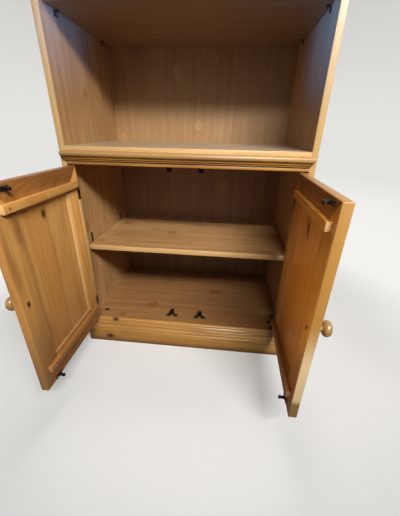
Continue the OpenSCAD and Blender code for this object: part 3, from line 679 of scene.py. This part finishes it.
# matt near-black screw heads: painted shade of the holes they sit in
hardware["black"] = {
    **hardware["bronze"],
    "body": rgba(0.012, 0.009, 0.008),
    "worn": rgba(0.03, 0.022, 0.018),
    "wear": (0.6, 0.75),
    "metallic": 0.0,
    "rough": 0.6,
}
hardware["steel"] = {
    **hardware["bronze"],
    "body": rgba(0.52, 0.49, 0.43),
    "worn": rgba(0.20, 0.15, 0.10),
    "wear": (0.56, 0.75),
    "metallic": 1.0,
    "rough": 0.34,
}
hardware["clipPlastic"] = {
    "body": rgba(0.022, 0.014, 0.010),
    "worn": rgba(0.07, 0.05, 0.04),
    "wear": (0.5, 0.8),
    "metallic": 0.0,
    "rough": 0.42,
    "patches": (90, 90, 300),
    "patchRough": 0.25,
    "wornRough": 0.0,
    "wornHeight": 0.0,
    "grain": (1800, 1.0),
    "bump": 0.04 * mm,
}


def hardwareFinish(name):
    values = hardware[name]
    finish = Finish(name)
    place = finish.place()
    patches = finish.noise(*[p * size for p, size in zip(place, values["patches"])], 4.0)
    size, detail = values["grain"]
    fine = finish.noise(*[p * size for p in place], detail)
    worn = finish.fade(patches, *values["wear"])
    colour = finish.mix(worn, values["body"], values["worn"])
    rough = (patches - 0.5) * values["patchRough"] + worn * values["wornRough"]
    height = fine + worn * values["wornHeight"]
    finish.connect(values["metallic"], finish.shader.inputs["Metallic"])
    return finish.close(colour, rough + values["rough"], height, values["bump"], 0.5)


bronze, black, steel, clipPlastic = map(hardwareFinish, hardware)
print("metal and plastic mixed")


# ---- modelling helpers ----
def finishPiece(bm, name, body, material, node, smooth):
    # turns a bmesh in the row frame into a piece that rides on a body for a CAD node
    mesh = bpy.data.meshes.new(name)
    bm.to_mesh(mesh)
    bm.free()
    mesh.shade_smooth()
    mesh.set_sharp_from_angle(angle=math.radians(smooth))
    piece = bpy.data.objects.new(name, mesh)
    scene.collection.objects.link(piece)
    mesh.materials.append(material)
    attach(piece, body)
    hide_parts(node)
    return piece


def ofKind(parts, kind):
    return [part for part in parts if isinstance(part, kind)]


def slab(bm, low, high):
    place = Matrix.Translation((low + high) / 2) @ Matrix.Diagonal((*(high - low), 1.0))
    return bmesh.ops.create_cube(bm, size=1.0, matrix=place)["verts"]


def edgesWithin(verts):
    ends = set(verts)
    return list({e for v in verts for e in v.link_edges if ends.issuperset(e.verts)})


def ease(bm, edges, width, segments=2):
    bmesh.ops.bevel(
        bm, geom=edges, offset=width, offset_type="OFFSET", segments=segments,
        profile=0.5, affect="EDGES", clamp_overlap=True, material=-1,
    )


def easedSlab(bm, low, high, width, segments=2):
    ease(bm, edgesWithin(slab(bm, low, high)), width, segments)


def rod(bm, start, end, radius):
    run = end - start
    turn = run.to_track_quat("Z", "Y").to_matrix().to_4x4()
    return bmesh.ops.create_cone(
        bm, cap_ends=True, segments=24, radius1=radius, radius2=radius,
        depth=run.length, matrix=Matrix.Translation((start + end) / 2) @ turn,
    )["verts"]


def sharpEdges(bm, angle=40.0):
    limit = math.radians(angle)
    return [
        e for e in bm.edges if len(e.link_faces) == 2 and e.calc_face_angle(0.0) > limit
    ]


def easedNode(node, material, body, width):
    # a CAD node with its doubles merged, its flat faces joined and its edges rounded
    bm = bmesh.new()
    bm.from_mesh(nodes[node].data)
    bmesh.ops.remove_doubles(bm, verts=bm.verts, dist=0.001 * mm)
    flat = math.radians(1.0)
    bmesh.ops.dissolve_limit(bm, angle_limit=flat, verts=bm.verts, edges=bm.edges)
    ease(bm, sharpEdges(bm), width)
    finishPiece(bm, node + "Eased", body, material, node, 35.0)


def paint(node, material):
    # gives a carried-over CAD node its finish
    slots = nodes[node].data.materials
    slots.clear()
    slots.append(material)


# ---- carcass boards ----
boards = {  # which way the grain runs, and the look
    "side_left": ("z", "foil"),
    "side_right": ("z", "foil"),
    "top_board": ("x", "foil"),
    "mid_shelf": ("x", "dustAndSheen"),
    "cupboard_floor": ("x", "inner"),
    "cupboard_shelf": ("x", "foil"),
    "open_shelf": ("x", "foil"),
    "high_shelf": ("x", "foil"),
    "back_lower": ("z", "innerBackShaded"),
    "back_upper": ("z", "back"),
}
# how much painted shade darkens the lower faces of the shelves and the top
paintedShadeUnder = {"open_shelf": 0.6, "high_shelf": 0.6, "top_board": 0.6}
# surfaces left bare at the rear, and how far before it they start
bareRears = {"side": ("chips", 0.4 * mm), "back": ("fibre", 1.2 * mm)}
boardKnots = {
    "side_left": [
        (-0.036, 0.881, 0.010, 0.4), (-0.145, 1.064, 0.010, 0.35),
        (0.057, 0.870, 0.007, 0.3), (-0.166, 0.456, 0.010, 0.45),
        (-0.023, 0.443, 0.007, 0.35), (-0.087, 0.160, 0.009, 0.4),
        (0.060, 1.32, 0.012, 0.35),
    ],
    "side_right": [
        (0.128, 0.861, 0.009, 0.35), (0.030, 0.960, 0.010, 0.35),
        (-0.080, 1.21, 0.012, 0.35), (0.050, 0.52, 0.010, 0.35),
    ],
    "cupboard_shelf": [
        (-0.001, -0.084, 0.011, 0.75), (0.093, -0.309, 0.012, 0.7),
        (-0.130, -0.333, 0.010, 0.7), (0.112, 0.034, 0.008, 0.7),
        (0.008, 0.327, 0.012, 0.7), (-0.105, 0.005, 0.006, 0.7),
        (-0.061, -0.299, 0.006, 0.5),
    ],
    "cupboard_floor": [
        (-0.119, -0.152, 0.013, 0.75), (0.017, 0.104, 0.013, 0.8),
        (-0.096, 0.192, 0.007, 0.7), (-0.202, -0.258, 0.009, 0.6),
        (0.087, -0.121, 0.010, 0.6), (-0.051, -0.146, 0.006, 0.5),
    ],
    "back_lower": [(-0.15, 0.33, 0.010, 0.3), (0.12, 0.55, 0.012, 0.3)],
    "back_upper": [
        (-0.181, 1.039, 0.012, 0.3), (-0.091, 0.977, 0.016, 0.45),
        (-0.136, 0.917, 0.010, 0.25), (-0.003, 0.795, 0.011, 0.5),
        (-0.334, 0.739, 0.010, 0.4), (0.054, 1.022, 0.010, 0.25),
        (0.160, 1.150, 0.012, 0.3), (-0.12, 1.30, 0.012, 0.3),
        (0.10, 1.50, 0.012, 0.3),
    ],
}
low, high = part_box("floor_screws")
reach, middle = (high.y - low.y) / 2, (high.y + low.y) / 2
screwPlaces = [(low.x + reach, middle), (high.x - reach, middle)]
for node, (along, look) in boards.items():
    box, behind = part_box(node), None
    if node[:4] in bareRears:
        surface, skin = bareRears[node[:4]]
        behind = (surface, box[1].y - skin)
    sunk = screwPlaces if node == "cupboard_floor" else ()
    knots, shadeUnder = boardKnots.get(node, ()), paintedShadeUnder.get(node, 0)
    paint(node, printed(node, box, along, look, knots, behind, shadeUnder, sunk))

for node, along in {
    "plinth_rear": "x",
    "plinth_bearer": "y",
    "plinth_blocks": "z",
    "carcass_dowels": "x",
}.items():
    paint(node, wood(node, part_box(node), along, "raw"))

for node in ("back_pins", "catch_screws", "side_leaf_screws", "left_screws", "right_screws"):
    paint(node, steel)
# these screws are drawn near black as painted shade of their holes
for node in ("floor_screws", "left_knob_screw", "right_knob_screw"):
    paint(node, black)
print("boards painted")


# ---- solid trim on the carcass ----
trim = {  # grain, look, edge rounding in mm and shades
    # the right-hand lipping darkened: painted shade against the stronger light from the right
    "side_lippings": ("z", "lip", 1.0, [([("x", 0, 0.1)], 0.3, edgeColour)]),
    "shelf_lippings": ("x", "edge", 1.2, ()),
    "mid_shelf_lipping": ("x", "lip", 0.8, ()),
    "mid_rail": ("x", "honey", 1.0, ()),
    "door_stops": ("z", "honey", 1.0, ()),
}
for node, (along, look, rounding, shades) in trim.items():
    material = wood(node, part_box(node), along, look, shades=shades)
    easedNode(node, material, "carcass", rounding * mm)

moulding = {
    # how far it stands out and its height, in mm, from the bottom up
    "profile": [
        (0, 0), (3.5, 0), (4.5, 1), (4.5, 8), (3.5, 9), (3.5, 10.5), (7, 11.5),
        (8, 13), (8, 15), (9, 16), (11, 17.5), (11.5, 19), (11.5, 21), (13, 22),
        (13, 23.5), (15.5, 25), (17.3, 28), (18, 31), (18, 34), (17, 36.5),
        (14, 38.5), (9, 40), (2, 41), (0, 41),
    ],
    "reach": 18,
    "rounding": 0.35,
    "look": "mould",
    # painted shade in each groove: height and half width in mm, and darkness
    "grooveShades": [(9.7, 2.3, 1.0), (15.5, 1.5, 0.95), (21.8, 1.9, 1.0), (24.6, 1.2, 0.8)],
    "knots": [],
    # the nose is paler than the coves; heights in mm from the lower edge
    "heightShades": [((24.5, 27), 0.4, noseColour)],
    "shades": [],
}
plinth = {
    "profile": [
        (0, 0), (22, 0), (22, 58), (21, 60), (19.5, 61), (19.5, 64), (18.5, 66),
        (16, 72), (14.5, 76), (14.5, 80), (12, 82), (11, 88), (10.5, 92),
        (8.5, 94), (8.5, 99), (7.5, 101.5), (6, 103), (6, 106), (0, 106),
    ],
    "reach": 22,
    "rounding": 0.5,
    "look": "plinth",
    # painted shade in each groove, as on the moulding
    "grooveShades": [(61.8, 1.6, 0.6), (66.5, 1.3, 0.5), (80.6, 1.5, 0.65), (93, 1.3, 0.6)],
    "knots": [(0.026, -0.300, 0.009, 1.0), (0.100, -0.274, 0.007, 1.0)],
    # darker towards its foot on the floor: painted shade
    "heightShades": [((24, 1), 0.7, knotColour["rim"])],
    # darker towards its left end
    "shades": [([("x", -0.32, -0.385)], 0.5, smearAndShadeColour)],
}


def extruded(bm, edges):
    made = bmesh.ops.extrude_edge_only(bm, edges=edges)["geom"]
    return ofKind(made, bmesh.types.BMVert), ofKind(made, bmesh.types.BMEdge)


def returnedMoulding(node, values):
    # a profile along the front that turns back on itself at both ends
    low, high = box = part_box(node)
    square = high.x - values["reach"] * mm
    bm = bmesh.new()
    outline = [
        bm.verts.new((square + out * mm, high.y - out * mm, low.z + height * mm))
        for out, height in values["profile"]
    ]
    run = [bm.edges.new(pair) for pair in zip(outline, outline[1:])]
    for vert in extruded(bm, run)[0]:
        vert.co.y = high.y
    verts, edges = extruded(bm, run)
    for vert in verts:
        vert.co.x = -vert.co.x
    farEdges = [e for e in edges if all(v.co.x < 0 for v in e.verts)]
    for vert in extruded(bm, farEdges)[0]:
        vert.co.y = high.y
    bmesh.ops.remove_doubles(bm, verts=bm.verts, dist=0.01 * mm)
    bmesh.ops.holes_fill(bm, edges=[e for e in bm.edges if e.is_boundary], sides=0)
    bmesh.ops.recalc_face_normals(bm, faces=bm.faces)
    ease(bm, sharpEdges(bm, 25.0), values["rounding"] * mm)
    grooveShades = [(low.z + z * mm, half * mm, dark) for z, half, dark in values["grooveShades"]]
    shades = values["shades"] + [
        ([("z", low.z + start * mm, low.z + end * mm)], amount, tint)
        for (start, end), amount, tint in values["heightShades"]
    ]
    look, knots = values["look"], values["knots"]
    material = wood(node, box, "x", look, knots, grooveShades=grooveShades, shades=shades)
    finishPiece(bm, node + "Moulded", "carcass", material, node, 28.0)


returnedMoulding("mid_moulding", moulding)
returnedMoulding("cornice", moulding)
returnedMoulding("plinth_front", plinth)
print("trim moulded")


# ---- doors ----
hinges = {joint["name"]: joint for joint in frame["joints"]}
rightPin = Vector(hinges["right_door_hinge"]["pos_m"])
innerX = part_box("mid_rail")[1].x
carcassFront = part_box("side_lippings")[0].y
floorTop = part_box("cupboard_floor")[1].z
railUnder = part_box("mid_rail")[0].z
door = {
    "edge": 2 * rightPin.x - innerX,
    "width": 358 * mm,
    "thick": 22 * mm,
    "foot": floorTop + 3 * mm,
    "head": railUnder - 2.5 * mm,
    "round": 2.2 * mm,
    "stile": 66 * mm,
    "topRail": 65 * mm,
    "bottomRail": 73 * mm,
    "mitreRound": 0.25 * mm,
    "openingRound": 0.7 * mm,
    "cutEdge": 20 * mm,  # a cut's edges that are longer get rounded
    # the panel: how deep it sits, its tongue, its outside's border and slopes, its boards
    "panelSet": 7 * mm,
    "panelThick": 8 * mm,
    "tongue": 7 * mm,
    "raised": [(9 * mm, 0), (32.6 * mm, 2.9 * mm), (1.2 * mm, 1.1 * mm)],
    "board": 78 * mm,
    "boardStart": {"left": 38 * mm, "right": 20 * mm},
    # strips and beads as (width, thickness)
    "bead": (6 * mm, 5 * mm),
    "beadGap": 0.2 * mm,
    "beadRound": 3.6 * mm,
    "strip": (13 * mm, 2 * mm),
    "stripInset": 0.1 * mm,
    "stripRound": 0.7 * mm,
    "knuckle": 38.6 * mm,
    "battenFrom": 24 * mm,
    "battenTo": 338 * mm,
    "battenSize": (20 * mm, 12 * mm),
    "battenOff": 3 * mm,
    "battenRound": 1.6 * mm,
    "plugIn": 18 * mm,
    "plugSize": (3 * mm, 6 * mm, 0.35 * mm),  # radius, depth, how far proud
    "plugRound": 0.3 * mm,
    "knob": (334 * mm, 388 * mm),
    "bore": 4.8 * mm,
    "boreDepth": 6.6 * mm,
    "looks": {
        "left": {},
        # the right door takes the redder looks of painted shade and warm bounce light
        "right": {
            "honey": "amberShaded", "rail": "amberShadedRail", "edge": "amberShadedEdge", "batten": "amberShadedRail",
        },
    },
    # shades: heights or depths over which they grow, share and colour
    # painted shade: the doors darker towards the foot, as the lamps' light falls off
    "footShade": ((0.48, 0.12), 0.58, smearAndShadeColour),
    "topFade": (-1.6 * mm, -0.5 * mm),
    # painted shade: the doors' top faces darkened against the key lamp's direct light
    "topFaceShade": {"left": (0.6, smearAndShadeColour), "right": (0.6, edgeColour)},
    "outside": ((14 * mm, 4 * mm), 0.5, outerColour),
    # painted light: the right door's lit free edge drawn less red than its shaded inside
    "freeEdge": ((2 * mm, 1 * mm), 0.7, edgeColour),
    # a paler band low on the right door's free edge
    "paleBand": (((0.42, 0.27), (0.155, 0.175)), 0.7, paleColour),
    "boreFade": (0.3 * mm, 1.0 * mm),
    "boreReach": (1.5, 1.35),  # in shares of its radius
    "boreShade": (0.95, holeShadeColour),
}
door["openLow"] = door["foot"] + door["bottomRail"]
door["openHigh"] = door["head"] - door["topRail"]


def onDoor(along, depth, height):
    # a point on the closed right-hand door, by its distance from the hinge edge
    return Vector((door["edge"] - along, carcassFront + depth, height))


def doorMatrix(side):
    # from the closed right-hand door to where this door stands open
    angle = -math.radians(hinges[side + "_door_hinge"]["range_deg"][0])
    swing = (
        Matrix.Translation(rightPin)
        @ Matrix.Rotation(angle, 4, "Z")
        @ Matrix.Translation(-rightPin)
    )
    return Matrix.Scale(-1, 4, (1, 0, 0)) @ swing if side == "left" else swing


def hang(bm, side):
    bmesh.ops.transform(bm, matrix=doorMatrix(side), verts=bm.verts)
    if side == "left":
        bmesh.ops.recalc_face_normals(bm, faces=bm.faces)


def boxOf(bm):
    corners = [v.co for v in bm.verts]
    return Vector(map(min, zip(*corners))), Vector(map(max, zip(*corners)))


def boreLimits(side):
    # the inside of the hole for the knob's screw, on the door as it hangs, where painted shade
    # is drawn
    away, height = door["knob"]
    mouth, deeper = (
        doorMatrix(side) @ onDoor(away, door["thick"] - depth, height)
        for depth in door["boreFade"]
    )
    limits = [("x", mouth.x, deeper.x)]
    for axis, middle in (("y", mouth.y), ("z", mouth.z)):
        for way in (1, -1):
            reach = [middle + way * door["bore"] * share for share in door["boreReach"]]
            limits.append((axis, *reach))
    return limits


def doorShades(side, node, freeEdge):
    heights, *footShade = door["footShade"]
    start, end = (door["head"] + off for off in door["topFade"])
    shades = [([("z", *heights)], *footShade), ([("z", start, end)], *door["topFaceShade"][side])]
    if side == "right":
        depths, *outer = door["outside"]  # its inside is drawn redder than its outside: painted shade and warm bounce light
        limits = [(doorMatrix(side) @ onDoor(0, depth, 0)).x for depth in depths]
        shades.insert(0, ([("x", *limits)], *outer))
    if node == "meeting_stile":
        if side == "right":  # its free edge, lit by the key lamp, is drawn less red than its inside as painted light, and paler in a band near the foot
            offs, *plain = door["freeEdge"]
            edge = ("y", *[freeEdge + off for off in offs])
            heights, *pale = door["paleBand"]
            paleBand = [edge, *[("z", *pair) for pair in heights]]
            shades += [([edge], *plain), (paleBand, *pale)]
        # painted shade inside the knob's screw hole
        shades.append((boreLimits(side), *door["boreShade"]))
    return shades


# knots by door piece, as (distance from the hinge edge, height, radius, darkness)
doorKnots = {
    ("left", "panel"): [(0.190, 0.575, 0.0075, 1.0)],
    # at the knob's place a dark knot, which is painted shade round the knob's screw hole
    ("left", "meeting_stile"): [(0.334, 0.388, 0.0048, 1.0)],
    ("right", "meeting_stile"): [(0.334, 0.388, 0.0048, 1.0)],
    ("right", "panel"): [
        (0.172, 0.566, 0.010, 0.9),
        (0.180, 0.546, 0.005, 0.9),
        (0.237, 0.285, 0.005, 0.8),
    ],
    ("right", "top_rail"): [(0.150, 0.640, 0.007, 0.5)],
}


def knotsFor(side, node, upright):
    # as (across, along), in the row frame
    found = []
    for away, height, *rest in doorKnots.get((side, node), ()):
        y = rightPin.y - away - (rightPin.x - door["edge"])
        found.append((y, height, *rest) if upright else (height, y, *rest))
    return found


def hungPiece(bm, side, node, along, look, smooth=35.0, **extra):
    hang(bm, side)
    box = boxOf(bm)
    name = side + node.title().replace("_", "")
    look = door["looks"][side].get(look, look)
    knots, shades = knotsFor(side, node, along == "z"), doorShades(side, node, box[0].y)
    material = wood(name + "Wood", box, along, look, knots, shades=shades, **extra)
    finishPiece(bm, name, "door_" + side, material, side + "_" + node, smooth)


def halved(bm, point, normal, **options):
    # cuts a shape by a plane and gives the new edges
    made = bmesh.ops.bisect_plane(
        bm, geom=bm.verts[:] + bm.edges[:] + bm.faces[:], dist=1e-7,
        plane_co=point, plane_no=normal, **options,
    )["geom_cut"]
    return ofKind(made, bmesh.types.BMEdge)


def screwBore(bm, centre, radius, depth):
    # a round blind hole in the inside face of a frame piece
    for way in ((1, 0, 0), (-1, 0, 0), (0, 0, 1), (0, 0, -1)):
        halved(bm, centre + Vector(way) * radius * 1.6, Vector(way))

    def nearest():
        return min(bm.faces, key=lambda f: (f.calc_center_median() - centre).length)

    bmesh.ops.subdivide_edges(bm, edges=nearest().edges[:], cuts=5)
    face = nearest()
    bmesh.ops.inset_individual(bm, faces=[face], thickness=radius * 0.1)
    for vert in face.verts:
        vert.co = centre + (vert.co - centre).normalized() * radius
    bottom = bmesh.ops.extrude_discrete_faces(bm, faces=[face])["faces"][0]
    bmesh.ops.translate(bm, vec=(0, -depth, 0), verts=bottom.verts[:])


def framePiece(side, node, along, look, corners):
    # one mitred side of the frame, cut from the whole door with its rounded edges;
    # corners are (distance from the hinge edge, height): outer, outer, inner, inner
    bm = bmesh.new()
    low = onDoor(door["width"], 0, door["foot"])
    high = onDoor(0, door["thick"], door["head"])
    easedSlab(bm, low, high, door["round"], 3)
    middle = sum((onDoor(a, door["thick"] / 2, z) for a, z in corners), Vector()) / 4
    for first, second in zip(corners[1:], corners[2:] + corners[:1]):
        start, end = onDoor(first[0], 0, first[1]), onDoor(second[0], 0, second[1])
        normal = (end - start).cross(Vector((0, 1, 0))).normalized()
        if (middle - start).dot(normal) > 0:
            normal = -normal
        rim = halved(bm, start, normal, clear_outer=True)
        bmesh.ops.holes_fill(bm, edges=rim, sides=0)
        face = max(bm.faces, key=lambda f: (f.calc_center_median() - start).dot(normal))
        long = [e for e in face.edges if e.calc_length() > door["cutEdge"]]
        ease(bm, long, door["openingRound" if first == corners[2] else "mitreRound"])
    if node == "meeting_stile":
        away, height = door["knob"]
        screwBore(bm, onDoor(away, door["thick"], height), door["bore"], door["boreDepth"])
    hungPiece(bm, side, node, along, look)


def doorFrame(side):
    width, stile = door["width"], door["stile"]
    foot, head, low, high = (door[key] for key in ("foot", "head", "openLow", "openHigh"))
    for node, along, look, corners in (
        ("hinge_stile", "z", "honey",
            [(0, foot), (0, head), (stile, high), (stile, low)]),
        ("meeting_stile", "z", "honey",
            [(width, head), (width, foot), (width - stile, low), (width - stile, high)]),
        ("top_rail", "y", "rail",
            [(0, head), (width, head), (width - stile, high), (stile, high)]),
        ("bottom_rail", "y", "rail",
            [(width, foot), (0, foot), (stile, low), (width - stile, low)]),
    ):
        framePiece(side, node, along, look, corners)


def doorPanel(side):
    # flat inside, with a raised and bordered middle outside
    reach, depth = door["tongue"], door["panelSet"]
    bm = bmesh.new()
    low = onDoor(door["width"] - door["stile"] + reach, depth, door["openLow"] - reach)
    high = onDoor(door["stile"] - reach, depth + door["panelThick"], door["openHigh"] + reach)
    slab(bm, low, high)
    outside = min(bm.faces, key=lambda f: f.calc_center_median().y)
    for width, rise in door["raised"]:
        bmesh.ops.inset_individual(
            bm, faces=[outside], thickness=width, depth=rise, use_even_offset=True
        )
    planks = {"boardWidth": door["board"], "boardStart": door["boardStart"][side]}
    hungPiece(bm, side, "panel", "z", "honey", 20.0, **planks)


def doorBeads(side):
    width, thick = door["bead"]
    depth = door["panelSet"] + door["panelThick"]
    inner, outer = door["stile"], door["width"] - door["stile"]
    first, last = inner + width + door["beadGap"], outer - width - door["beadGap"]
    low, high = door["openLow"], door["openHigh"]
    bm = bmesh.new()
    for start, end, bottom, top, corner in (
        (inner, inner + width, low, high, (-1, 1, 0)),
        (outer - width, outer, low, high, (1, 1, 0)),
        (first, last, low, low + width, (0, 1, 1)),
        (first, last, high - width, high, (0, 1, -1)),
    ):
        verts = slab(bm, onDoor(end, depth, bottom), onDoor(start, depth + thick, top))
        middle = sum((v.co for v in verts), Vector()) / 8
        free = [  # the corners on the bead's free side
            v
            for v in verts
            if all((v.co - middle)[axis] * way > 0 for axis, way in enumerate(corner) if way)
        ]
        ease(bm, edgesWithin(free), door["beadRound"], 5)
    # the flat strip between the hinges
    reach, thick = door["strip"]
    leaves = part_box(side + "_leaves")
    start = onDoor(reach, door["thick"], leaves[0].z + door["knuckle"])
    end = onDoor(door["stripInset"], door["thick"] + thick, leaves[1].z - door["knuckle"])
    easedSlab(bm, start, end, door["stripRound"])
    hungPiece(bm, side, "beads", "z", "edge", 50.0)


def doorBatten(side, node, low, look):
    height, thick = door["battenSize"]
    bm = bmesh.new()
    start = onDoor(door["battenTo"], door["thick"], low)
    end = onDoor(door["battenFrom"], door["thick"] + thick, low + height)
    easedSlab(bm, start, end, door["battenRound"], 3)
    hungPiece(bm, side, node, "y", look, endGrain=door["battenRound"])


def doorPlugs(side, lower, upper):
    # round wooden plugs over the batten screws, a little proud and domed
    first, last = door["battenFrom"] + door["plugIn"], door["battenTo"] - door["plugIn"]
    middle = (door["battenFrom"] + door["battenTo"]) / 2
    radius, depth, proud = door["plugSize"]
    surface = door["thick"] + door["battenSize"][1]
    bm = bmesh.new()
    for along, z in (
        (first, upper), (middle, upper), (middle, lower), (last, lower), (first, lower),
    ):
        ends = (onDoor(along, surface - depth, z), onDoor(along, surface + proud, z))
        verts = rod(bm, *ends, radius)
        top = [v for v in verts if v.co.y > carcassFront + surface]
        ease(bm, edgesWithin(top), door["plugRound"])
    hungPiece(bm, side, "plugs", "y", "plug")


for side in ("left", "right"):
    doorFrame(side)
    doorPanel(side)
    doorBeads(side)
    tall = door["battenSize"][0]
    upper = door["openHigh"] + door["battenOff"]
    lower = door["openLow"] - door["battenOff"] - tall
    doorBatten(side, "top_batten", upper, "honey")
    doorBatten(side, "bottom_batten", lower, "batten")
    doorPlugs(side, lower + tall / 2, upper + tall / 2)
print("doors hung")


# ---- knobs ----
knob = {
    # the outline from the foot to the neck, as (radius, height) in mm
    "foot": [
        (0, 0), (10.2, 0), (11, 0.7), (11, 1.9), (10.1, 2.7), (9.3, 4.0), (8.1, 5.6),
        (7.9, 7.4), (8.4, 9.0), (10.1, 10.6),
    ],
    "radius": 19.0,
    "length": 31.0,
    "half": 0.32,  # of the length, from the widest place to the crown
    "widest": 0.675,
    "angles": [-58 + step * 11.5 for step in range(13)],
    "crownDrop": 0.05,
    "steps": 48,
}


def turnedKnob(side):
    length, half = knob["length"], knob["half"]
    outline = list(knob["foot"])
    for angle in map(math.radians, knob["angles"]):
        out = knob["radius"] - length * half * (1 - math.cos(angle))
        outline.append((out, length * (knob["widest"] + half * math.sin(angle))))
    outline.append((0, length - knob["crownDrop"]))
    along, height = door["knob"]
    origin = onDoor(along, 0, height)
    bm = bmesh.new()
    chain = [
        bm.verts.new(origin + Vector((radius * mm, -out * mm, 0))) for radius, out in outline
    ]
    edges = [bm.edges.new(pair) for pair in zip(chain, chain[1:])]
    bmesh.ops.spin(
        bm, geom=chain + edges, cent=origin, axis=(0, 1, 0), angle=math.tau,
        steps=knob["steps"], use_merge=True,
    )
    bmesh.ops.remove_doubles(bm, verts=bm.verts, dist=0.005 * mm)
    bmesh.ops.recalc_face_normals(bm, faces=bm.faces)
    hang(bm, side)
    material = wood(side + "KnobWood", boxOf(bm), "x", "turned")
    piece = finishPiece(
        bm, side + "Knob", "door_" + side, material, side + "_knob", 60.0
    )
    smooth = piece.modifiers.new("smooth", "SUBSURF")
    smooth.levels = smooth.render_levels = 1


for side in ("left", "right"):
    turnedKnob(side)
print("knobs turned")


# ---- hinges, clips and catches ----
for node, body, rounding in (
    ("side_leaves", "carcass", 0.25),
    ("left_leaves", "door_left", 0.25),
    ("right_leaves", "door_right", 0.25),
    ("hinge_pins", "carcass", 0.4),
    ("catches_lower", "carcass", 0.6),
    ("catches_upper", "carcass", 0.6),
    ("left_strikers", "door_left", 0.5),
    ("right_strikers", "door_right", 0.5),
):
    easedNode(node, bronze, body, rounding * mm)

easedNode("shelf_clips", clipPlastic, "carcass", 0.5 * mm)
print("hardware set")
